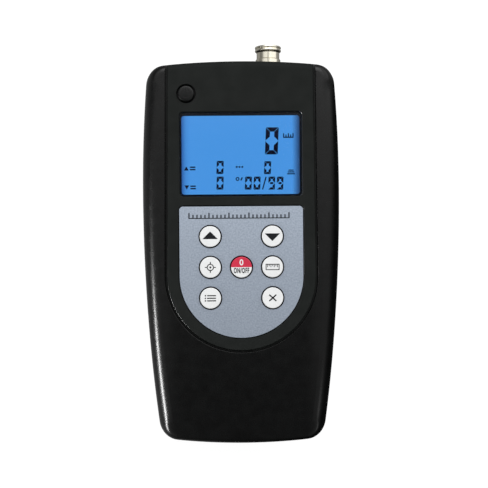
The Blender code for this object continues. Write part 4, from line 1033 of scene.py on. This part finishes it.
power_cap = as_object("power_cap", cap("power_button", POWER_TOP - INK, POWER_RADIUS, POWER_EDGE,
                                       POWER_FLANGE))
finish(power_cap, "power_button", [button_black], ["power_button"])

# %% [markdown]
# ## The silver overlay
# The keypad's label is a thin printed plate with a sparkle in its paint. Its border and the walls
# of its edge and its holes get a nearly black painted shade, for the shade in the gap round it and
# round the keys. Its rings are drawn like the case's and skinned, and the seven holes are cut last.

# %% Panel label
SHADED_BORDER = mm(0.12)
LABEL_EDGE = mm(0.08)
HOLE_TOOL = (mm(30), mm(34))
SHADED_WALL_LEVEL = 0.3

levels = [(0, LABEL_LOW.z), (0, LABEL_HIGH.z - LABEL_EDGE), (-LABEL_EDGE, LABEL_HIGH.z),
          (-SHADED_BORDER, LABEL_HIGH.z)]
label_overlay = stack("label_overlay", u_ring, levels)
holes = [round_tool(middle_of(key), KEY_HOLE, *HOLE_TOOL) for key in KEYS]
carve(label_overlay, ("DIFFERENCE", holes))
finish(label_overlay, "housing", [silver_print, ink_and_edge_shade], ["panel_label"])


def in_border(place):
    """Whether a place on the label lies on its border, where shade is painted."""
    if place.y < ARC_Y:
        return hypot(place.x, place.y - ARC_Y) > LABEL_HALF - SHADED_BORDER
    return abs(place.x) > LABEL_HALF - SHADED_BORDER or place.y > LABEL_HIGH.y - SHADED_BORDER


# Painted shade: the border and the steep walls of the label take the dark ink.
for face in label_overlay.data.polygons:
    if in_border(face.center) or abs(face.normal.z) < SHADED_WALL_LEVEL:
        face.material_index = 1

# %% [markdown]
# ## Printed marks
# Print lies on top of the plastic, a few hundredths of a millimetre thick. Each mark is made flat
# of rounded bars, discs, triangles or letters, and is then raised. Places that were measured on the
# photograph are turned into places at a known height.

# %% Places measured on the photograph
PHOTO_SIDE = 488
FOCAL_PIXELS = PHOTO_SIDE * LENS / camera.data.sensor_width


def on_photo(x, y, z):
    """The place at height z that a pixel of the photograph shows."""
    scale = (CAMERA_HEIGHT - z) / FOCAL_PIXELS
    seen = Vector(((x - PHOTO_SIDE / 2) * scale, (PHOTO_SIDE / 2 - y) * scale, 0))
    seen.rotate(Matrix.Rotation(CAMERA_TURN, 3, "Z"))
    return Vector((CAMERA_X, CAMERA_Y, z)) + seen


# %% Flat shapes
def placed(middle, angle=0.0):
    """A matrix that turns by an angle in degrees and moves to a place."""
    return Matrix.Translation((*middle, 0)) @ Matrix.Rotation(radians(angle), 4, "Z")


def bar(bm, length, thickness, middle, angle=0.0, corner=0.35, steps=3):
    """A flat rounded bar, turned by an angle in degrees."""
    before = set(bm.verts)
    ring = rectangle(bm, length, thickness, corner * min(length, thickness), (0, 0), 0, steps)
    fill(bm, ring)
    verts = [v for v in bm.verts if v not in before]
    bmesh.ops.transform(bm, matrix=placed(middle, angle), verts=verts)


def triangle(bm, width, height, middle):
    """A flat triangle that points up, or down where its height is negative."""
    at = placed((middle[0], middle[1] - height / 6))
    at = at @ Matrix.Diagonal((width / sqrt(3), height / 1.5, 1, 1))
    fill(bm, bmesh.ops.create_circle(bm, segments=3, radius=1, matrix=at)["verts"])


def disc(bm, radius, inner, middle, segments=32):
    """A flat disc, or a ring where it has an inner radius."""
    at = placed(middle)
    rings = [bmesh.ops.create_circle(bm, segments=segments, radius=size, matrix=at)["verts"]
             for size in (radius, inner) if size]
    if inner:
        loft(bm, rings, capped=False)
    else:
        fill(bm, rings[0])


def open_ring(bm, radius, inner, gap, middle):
    """A flat ring with a gap at its top, for the standby sign."""
    disc(bm, radius, inner, middle, 48)
    centres = [(face, face.calc_center_median()) for face in bm.faces]
    gone = [face for face, place in centres
            if place.y > middle[1] and abs(place.x - middle[0]) < gap / 2]
    bmesh.ops.delete(bm, geom=gone, context="FACES")


# %% Letters and ink
def words(bm, height, weight, middle, text, squeeze=1.0, spacing=1.0):
    """A word in Blender's own plain type, made into faces. Weight thickens its strokes."""
    curve = bpy.data.curves.new(text, "FONT")
    curve.body = text
    curve.align_x = curve.align_y = "CENTER"
    curve.size = height
    curve.offset = weight
    curve.space_character = spacing
    holder = bpy.data.objects.new(text, curve)
    flat = bpy.data.meshes.new_from_object(holder)
    flat.transform(placed(middle) @ Matrix.Diagonal((squeeze, 1, 1, 1)))
    bm.from_mesh(flat)
    bpy.data.objects.remove(holder)
    bpy.data.curves.remove(curve)
    bpy.data.meshes.remove(flat)


def print_on(name, bm, z, body, material):
    """Raises flat marks into ink that lies on a surface at height z."""
    bmesh.ops.remove_doubles(bm, verts=bm.verts, dist=SAME_PLACE)
    for vert in bm.verts:
        vert.co.z = z
    bmesh.ops.recalc_face_normals(bm, faces=bm.faces)
    made = bmesh.ops.extrude_face_region(bm, geom=bm.faces[:])["geom"]
    raised = [g for g in made if isinstance(g, bmesh.types.BMVert)]
    bmesh.ops.translate(bm, verts=raised, vec=(0, 0, INK))
    finish(as_object(name, bm), body, [material])


def print_signs(name, groups, z, body, material):
    """Prints groups of shapes as one piece. A shape has its sizes and its offset from the place
    of its group in millimetres, and then anything else that it needs."""
    bm = bmesh.new()
    for at, shapes in groups:
        for draw, sizes, (right, up), *rest in shapes:
            draw(bm, *(mm(size) for size in sizes), (at.x + mm(right), at.y + mm(up)), *rest)
    print_on(name, bm, z, body, material)


print("one pixel on the face in mm:", round(1000 * (CAMERA_HEIGHT - FACE_Z) / FOCAL_PIXELS, 3))

# %% [markdown]
# The keys carry simple signs: triangles for up and down, a cross hair to calibrate, a small rule
# for the unit, a list for the memory and a cross to delete. The middle key sets zero with its red
# half and switches with its white half. The power button has the standby sign.

# %% Marks on the keys
KEY_MARKS = [
    ("key_up_mark", "key_up", [(triangle, (6.3, 3.1), (0, 0.5))]),
    ("key_down_mark", "key_down", [(triangle, (6.2, -3.1), (0, -0.45))]),
    ("key_calibrate_mark", "key_calibrate",
     [(disc, (1.45, 1.08), (0, 0)), (disc, (0.42, 0), (0, 0), 20)]
     + [(bar, (0.8, 0.36), (1.85 * right, 1.85 * up), angle)
        for right, up, angle in ((1, 0, 0), (0, 1, 90), (-1, 0, 180), (0, -1, 270))]),
    ("key_unit_mark", "key_unit",
     [(bar, (5.6, 0.32), (0, side)) for side in (1.1, -1.1)]
     + [(bar, (2.5, 0.32), (side, 0), 90) for side in (-2.65, 2.65)]
     + [(bar, (length, 0.26), (0.68 * tick, 1.0 - length / 2), 90)
        for tick, length in enumerate((1.1, 0.7, 1.1, 0.7, 1.1, 0.7, 1.1), -3)]),
    ("key_read_mark", "key_read",
     [shape for up in (-1.05, 0, 1.05)
      for shape in ((disc, (0.3, 0), (-2.1, up), 16), (bar, (3.7, 0.44), (0.4, up)))]),
    ("key_delete_mark_a", "key_delete", [(bar, (3.9, 0.55), (0, 0), 42)]),
    ("key_delete_mark_b", "key_delete", [(bar, (3.9, 0.55), (0, 0), -42)]),
    ("key_zero_mark", "key_zero", [(words, (3.3, 0.07), (0, 1.85), "0")]),
    ("key_switch_mark", "key_zero", [(words, (2.9, 0.11), (0, -1.45), "ON/OFF", 0.54, 1.16)]),
]
POWER_MARKS = [("power_ring", (open_ring, (2.05, 1.5, 1.6), (0, 0))),
               ("power_bar", (bar, (1.9, 0.52), (0, 1.25), 90))]

for name, key, shapes in KEY_MARKS:
    on_red = name == "key_zero_mark"
    print_signs(name, [(middle_of(key), shapes)], KEY_HIGH.z - INK, key,
                key_white if on_red else ink_and_edge_shade)
for name, shape in POWER_MARKS:
    print_signs(name, [(middle_of("power_button"), [shape])], POWER_TOP - INK, "power_button",
                symbol_black)

# %% [markdown]
# A fine rule is printed across the top of the label, with a long tick at every fifth place.

# %% Rule on the label
RULE_LEFT = (189.0, 218.5)
RULE_RIGHT = (289.0, 218.5)
RULE_TICKS = 25
RULE_LONG, RULE_SHORT = 2.3, 1.5

left = on_photo(*RULE_LEFT, FACE_Z)
width = 1000 * (on_photo(*RULE_RIGHT, FACE_Z).x - left.x)
rule = [(bar, (width + 0.5, 0.35), (width / 2, 0))]
for tick in range(RULE_TICKS + 1):
    length = RULE_SHORT if tick % 5 else RULE_LONG
    rule.append((bar, (length, 0.5), (width * tick / RULE_TICKS, length / 2), 90))
print_signs("label_rule", [(left, rule)], LABEL_HIGH.z, "housing", ink_and_edge_shade)

# %% [markdown]
# ## The display
# From the top down the display is a clear acrylic lens, a dark mask that frames the lit area, and
# the glass of the liquid crystal cell, which glows blue. The lens is a thin plate with softened
# edges. The mask is a flat frame on the glass.

# %% Lens and mask
LIT_LEFT, LIT_RIGHT = 181.3, 299.4
LIT_TOP, LIT_BOTTOM = 115.8, 194.3
LENS_BEVEL = mm(0.15)
LENS_CORNER = mm(1.3)
MASK_CORNER = mm(1.2)
LIT_CORNER = mm(1.1)
MASK_THICKNESS = mm(0.1)
MASK_ROOM = mm(0.6)
GLASS_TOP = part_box("lcd_glass")[1].z
MASK_Z = GLASS_TOP + mm(0.05)

acrylic, tree, shader = new_finish("clear_acrylic", (0.97, 0.98, 0.99), 0.03)
shader.inputs["Transmission Weight"].default_value = 1.0
shader.inputs["IOR"].default_value = 1.45
wander(tree, shader, "Roughness", 0.015, 0.05, 300)
mask_ink = moulded("mask_ink", (0.0025, 0.007, 0.018), (0.0035, 0.009, 0.023), (0.3, 0.36), 4000,
                   0.002, 0.0)


def lens_ring(bm, out, z):
    width, length = (side + 2 * out for side in WINDOW_SIZE.xy)
    return rectangle(bm, width, length, LENS_CORNER, WINDOW_MIDDLE, z)


levels = [(-LENS_BEVEL, WINDOW_LOW.z), (0, WINDOW_LOW.z + LENS_BEVEL),
          (0, WINDOW_HIGH.z - LENS_BEVEL), (-LENS_BEVEL, WINDOW_HIGH.z)]
window_lens = stack("window_lens", lens_ring, levels)
finish(window_lens, "housing", [acrylic], ["display_window"])

lit_x = (LIT_LEFT + LIT_RIGHT) / 2
lit_low = on_photo(lit_x, LIT_BOTTOM, GLASS_TOP)
lit_high = on_photo(lit_x, LIT_TOP, GLASS_TOP)
lit_size = ((LIT_RIGHT - LIT_LEFT) * (CAMERA_HEIGHT - GLASS_TOP) / FOCAL_PIXELS,
            lit_high.y - lit_low.y)
lit_middle = (0, (lit_low.y + lit_high.y) / 2)
outer = (*(side - MASK_ROOM for side in WINDOW_SIZE.xy), MASK_CORNER, WINDOW_MIDDLE)
inner = (*lit_size, LIT_CORNER, lit_middle)
bm = bmesh.new()
rings = [rectangle(bm, *outer, MASK_Z), rectangle(bm, *outer, MASK_Z + MASK_THICKNESS),
         rectangle(bm, *inner, MASK_Z + MASK_THICKNESS), rectangle(bm, *inner, MASK_Z)]
loft(bm, rings, capped=False, closed=True)
finish(as_object("display_mask", bm), "housing", [mask_ink])
print("lit area in mm:", [round(1000 * side, 1) for side in lit_size])

# %% [markdown]
# The cell shows a large zero, three small ones and a memory count, in dark segments. Each figure
# is a few bars with mitred ends, and leans a little, as it does on most such displays.

# %% Figures on the display
SEGMENTS = {"0": "abcdef", "9": "abcdfg"}
LEAN = 0.045
MITRE = 1.9
SEGMENT_GAP = 0.1
INK_Z = GLASS_TOP + mm(0.01)
FIGURE_Z = MASK_Z - mm(0.02)
FIGURES = [
    ("0", (264.7, 127.5), (278.9, 154.4), 1.75),
    ("0", (216.3, 161.0), (223.9, 174.0), 0.95),
    ("0", (216.3, 176.7), (223.9, 189.6), 0.95),
    ("0", (263.9, 161.3), (271.3, 174.2), 0.95),
    ("0", (244.7, 176.7), (252.0, 189.6), 0.95),
    ("0", (253.4, 176.7), (260.7, 189.6), 0.95),
    ("9", (268.0, 176.7), (275.3, 189.6), 0.95),
    ("9", (276.5, 176.7), (283.6, 189.6), 0.95),
]
COUNT_SLASH = (264.3, 183.2)
segment_ink = moulded("segment_ink", (0.004, 0.006, 0.022), (0.006, 0.009, 0.028), (0.4, 0.5),
                      4000, 0.002, 0.0)


def segment(bm, length, thickness, middle, angle):
    """A flat bar with mitred ends, longer on its outer side."""
    quad = bmesh.ops.create_grid(bm, x_segments=1, y_segments=1, size=0.5,
                                 matrix=Matrix.Diagonal((length, thickness, 1, 1)))["verts"]
    for vert in quad:
        if vert.co.y < 0:
            vert.co.x *= 1 - MITRE * thickness / length
    bmesh.ops.transform(bm, matrix=placed(middle, angle), verts=quad)


def figure(bm, digit, left_top, right_bottom, thickness):
    """One seven-segment digit between two pixels of the photograph."""
    before = set(bm.verts)
    high = on_photo(*left_top, FIGURE_Z)
    low = on_photo(*right_bottom, FIGURE_Z)
    middle = (high + low) / 2
    gap = SEGMENT_GAP * thickness
    tall = high.y - low.y
    wide = low.x - high.x - LEAN * tall
    x, y = (wide - thickness) / 2, (tall - thickness) / 2
    across, upright = wide - 2 * gap, tall / 2 - 1.5 * gap
    bars = {"a": (0, y, across, 0), "d": (0, -y, across, 180),
            "b": (x, tall / 4, upright, -90), "c": (x, -tall / 4, upright, -90),
            "e": (-x, -tall / 4, upright, 90), "f": (-x, tall / 4, upright, 90)}
    for name in SEGMENTS[digit]:
        if name == "g":
            bar(bm, wide - thickness - gap, 0.9 * thickness, middle.xy, 0, 0.48, 1)
        else:
            aside, up, length, angle = bars[name]
            segment(bm, length, thickness, (middle.x + aside, middle.y + up), angle)
    for vert in set(bm.verts) - before:
        vert.co.x += LEAN * (vert.co.y - middle.y)


bm = bmesh.new()
for digit, left_top, right_bottom, thickness in FIGURES:
    figure(bm, digit, left_top, right_bottom, mm(thickness))
bar(bm, mm(5.4), mm(0.5), on_photo(*COUNT_SLASH, FIGURE_Z).xy, 74)
print_on("display_figures", bm, INK_Z, "housing", segment_ink)

# %% Small signs on the display
PAIR = [(bar, (2.3, 0.55), (1.1, -0.5)), (bar, (2.3, 0.55), (1.1, 0.5))]
DISPLAY_SIGNS = [
    ((190.0, 168.5), [(triangle, (1.9, 1.7), (-1.5, 0))] + PAIR),
    ((190.5, 187.5), [(triangle, (1.9, -1.7), (-1.5, 0))] + PAIR),
    ((239.5, 167.0), [(bar, (0.75, 0.75), (right, 0)) for right in (-1.15, 0, 1.15)]),
    ((239.5, 179.0), [(disc, (0.8, 0.4), (-0.8, 0), 24), (bar, (1.4, 0.55), (0.85, 0), 62)]),
    ((291.0, 172.0), [(bar, (2.7 - 0.55 * row, 0.45), (0, 0.75 * row)) for row in (-1, 0, 1)]),
    ((288.3, 135.5), [(bar, (4.3, 0.5), (0, -0.75))]
     + [(bar, (length, 0.45), (0.96 * tick, length / 2 - 0.6), 90)
        for tick, length in enumerate((1.5, 1.0, 1.5, 1.0, 1.5), -2)]),
]
groups = [(on_photo(*pixel, FIGURE_Z), shapes) for pixel, shapes in DISPLAY_SIGNS]
print_signs("display_signs", groups, INK_Z, "housing", segment_ink)

# %% [markdown]
# The backlight shines through the glass and is nearly even. Towards the two ends, more on the
# right, it gets a painted shade, for the shade that the opening's walls cast on the lit area. A
# ramp along X carries those colours into the glass's own glow.

# %% Glow of the display
GLOW_STRENGTH = 0.93
# Painted shade: the outer stops darken the glow at both ends, more on the right.
GLOW_AND_EDGE_SHADE = [(0.0, (0.022, 0.105, 0.36)), (0.035, (0.060, 0.275, 0.72)),
               (0.07, (0.071, 0.325, 0.805)), (0.935, (0.071, 0.325, 0.805)),
               (0.965, (0.045, 0.18, 0.47)), (1.0, (0.010, 0.030, 0.085))]
glow, tree, shader = new_finish("blue_glow", (0.01, 0.03, 0.08), 0.25, specular=0.0)
across = spread(tree, axes(tree)[0], -lit_size[0] / 2, lit_size[0] / 2, kind="LINEAR")
shade_ramp = add_node(tree, "ShaderNodeValToRGB", Fac=across)
for position, _ in GLOW_AND_EDGE_SHADE[1:-1]:
    shade_ramp.color_ramp.elements.new(position)
for element, (position, color) in zip(shade_ramp.color_ramp.elements, GLOW_AND_EDGE_SHADE):
    element.position = position
    element.color = (*color, 1)
tree.links.new(shade_ramp.outputs["Color"], shader.inputs["Emission Color"])
shader.inputs["Emission Strength"].default_value = GLOW_STRENGTH
print("glow has", len(GLOW_AND_EDGE_SHADE), "stops")

# %% [markdown]
# ## The probe socket
# The probe's plug screws onto a nickel-plated socket in the top end. From the tip it has a rim with
# a coarse thread, a narrower neck and a collar that sits on the case. Its profile is spun about an
# axis that runs along Y.

# %% Socket
SOCKET_LOW, SOCKET_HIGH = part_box("socket_shell")
SOCKET_X = middle_of("socket_shell").x
TIP_Y = SOCKET_HIGH.y
END_WALL_Y = TOP_Y - sagitta(TOP_END, SOCKET_X)
RIM_RADIUS = mm(5.55)
RIM_LENGTH = mm(2.75)
NECK_RADIUS = mm(4.85)
COLLAR_RADIUS = mm(5.25)
COLLAR_LENGTH = mm(2.0)
STEM_RADIUS = mm(4.6)
BORE_RADIUS = mm(4.2)
BORE_DEPTH = mm(5.0)
TAIL_RADIUS = mm(3.6)
THREAD_PITCH = mm(1.25)
THREAD_DEPTH = mm(0.35)
THREAD_TURNS = 2
THREAD = [(THREAD_DEPTH, 0), (mm(0.1), mm(0.12)), (0, mm(0.3)), (0, mm(0.7)),
          (mm(0.1), mm(0.88)), (THREAD_DEPTH, mm(1.0))]

nickel = moulded("nickel_plate", (0.76, 0.72, 0.60), (0.82, 0.78, 0.66), (0.14, 0.2), 2500, 0.001,
                 metallic=1.0)
profile = [(BORE_RADIUS, TIP_Y - mm(0.25)), (BORE_RADIUS + mm(0.25), TIP_Y)]
for crest in range(THREAD_TURNS):
    profile += [(RIM_RADIUS - depth, TIP_Y - crest * THREAD_PITCH - down) for depth, down in THREAD]
collar_y = END_WALL_Y + COLLAR_LENGTH
profile += [
    (NECK_RADIUS, TIP_Y - RIM_LENGTH), (NECK_RADIUS, collar_y + mm(0.15)),
    (COLLAR_RADIUS - mm(0.2), collar_y), (COLLAR_RADIUS, collar_y - mm(0.2)),
    (COLLAR_RADIUS, END_WALL_Y + GAP), (STEM_RADIUS, END_WALL_Y + GAP),
    (STEM_RADIUS, SOCKET_LOW.y), (TAIL_RADIUS, SOCKET_LOW.y),
    (TAIL_RADIUS, TIP_Y - BORE_DEPTH), (BORE_RADIUS, TIP_Y - BORE_DEPTH),
]
bm = bmesh.new()
turned(bm, profile, (SOCKET_X, 0, PARTING), LENGTHWISE, steps=96, ring=True)
finish(as_object("socket_body", bm), "housing", [nickel], ["socket_shell"])

# %% [markdown]
# ## Finishes for the pieces inside
# The other solids already have the right shape, so they keep it and only receive a finish. Solids
# of the same material share one.

# %% Finishes by material
INNER_FINISHES = [
    (glow, ["lcd_glass"]),
    (nickel, ["socket_washer", "socket_nut"]),
    (moulded("board_mask", (0.010, 0.075, 0.030), (0.016, 0.105, 0.042), (0.28, 0.4),
             2200, 0.01), ["circuit_board"]),
    (moulded("chip_resin", (0.012, 0.012, 0.013), (0.019, 0.019, 0.020), (0.5, 0.62),
             5200, 0.008), ["controller_chip", "signal_chip", "buzzer"]),
    (moulded("mat_rubber", (0.17, 0.17, 0.18), (0.23, 0.23, 0.24), (0.65, 0.8),
             2600, 0.01, 0.3), ["zebra_strip", "key_mat", "power_mat"]),
    (moulded("insulator", (0.014, 0.014, 0.015), (0.022, 0.022, 0.023), (0.45, 0.55),
             3800, 0.006), ["socket_insert"]),
    (moulded("frame_white", (0.72, 0.72, 0.70), (0.80, 0.80, 0.78), (0.4, 0.5),
             2800, 0.006), ["lcd_backlight", "lcd_frame"]),
    (moulded("spring_strip", (0.50, 0.50, 0.48), (0.60, 0.60, 0.58), (0.25, 0.36),
             1800, 0.004, metallic=1.0), [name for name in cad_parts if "contact_" in name]),
    (moulded("zinc_steel", (0.42, 0.42, 0.41), (0.52, 0.52, 0.50), (0.28, 0.42),
             2000, 0.006, metallic=1.0), [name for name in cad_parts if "_screw_" in name]),
    (moulded("cell_film", (0.055, 0.06, 0.075), (0.07, 0.076, 0.092), (0.24, 0.34),
             1500, 0.004, metallic=0.4), [f"battery_{number}" for number in range(1, 5)]),
]
for material, names in INNER_FINISHES:
    for name in names:
        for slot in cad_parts[name].material_slots:
            slot.material = material
print("solids given a finish:", sum(len(names) for _, names in INNER_FINISHES))
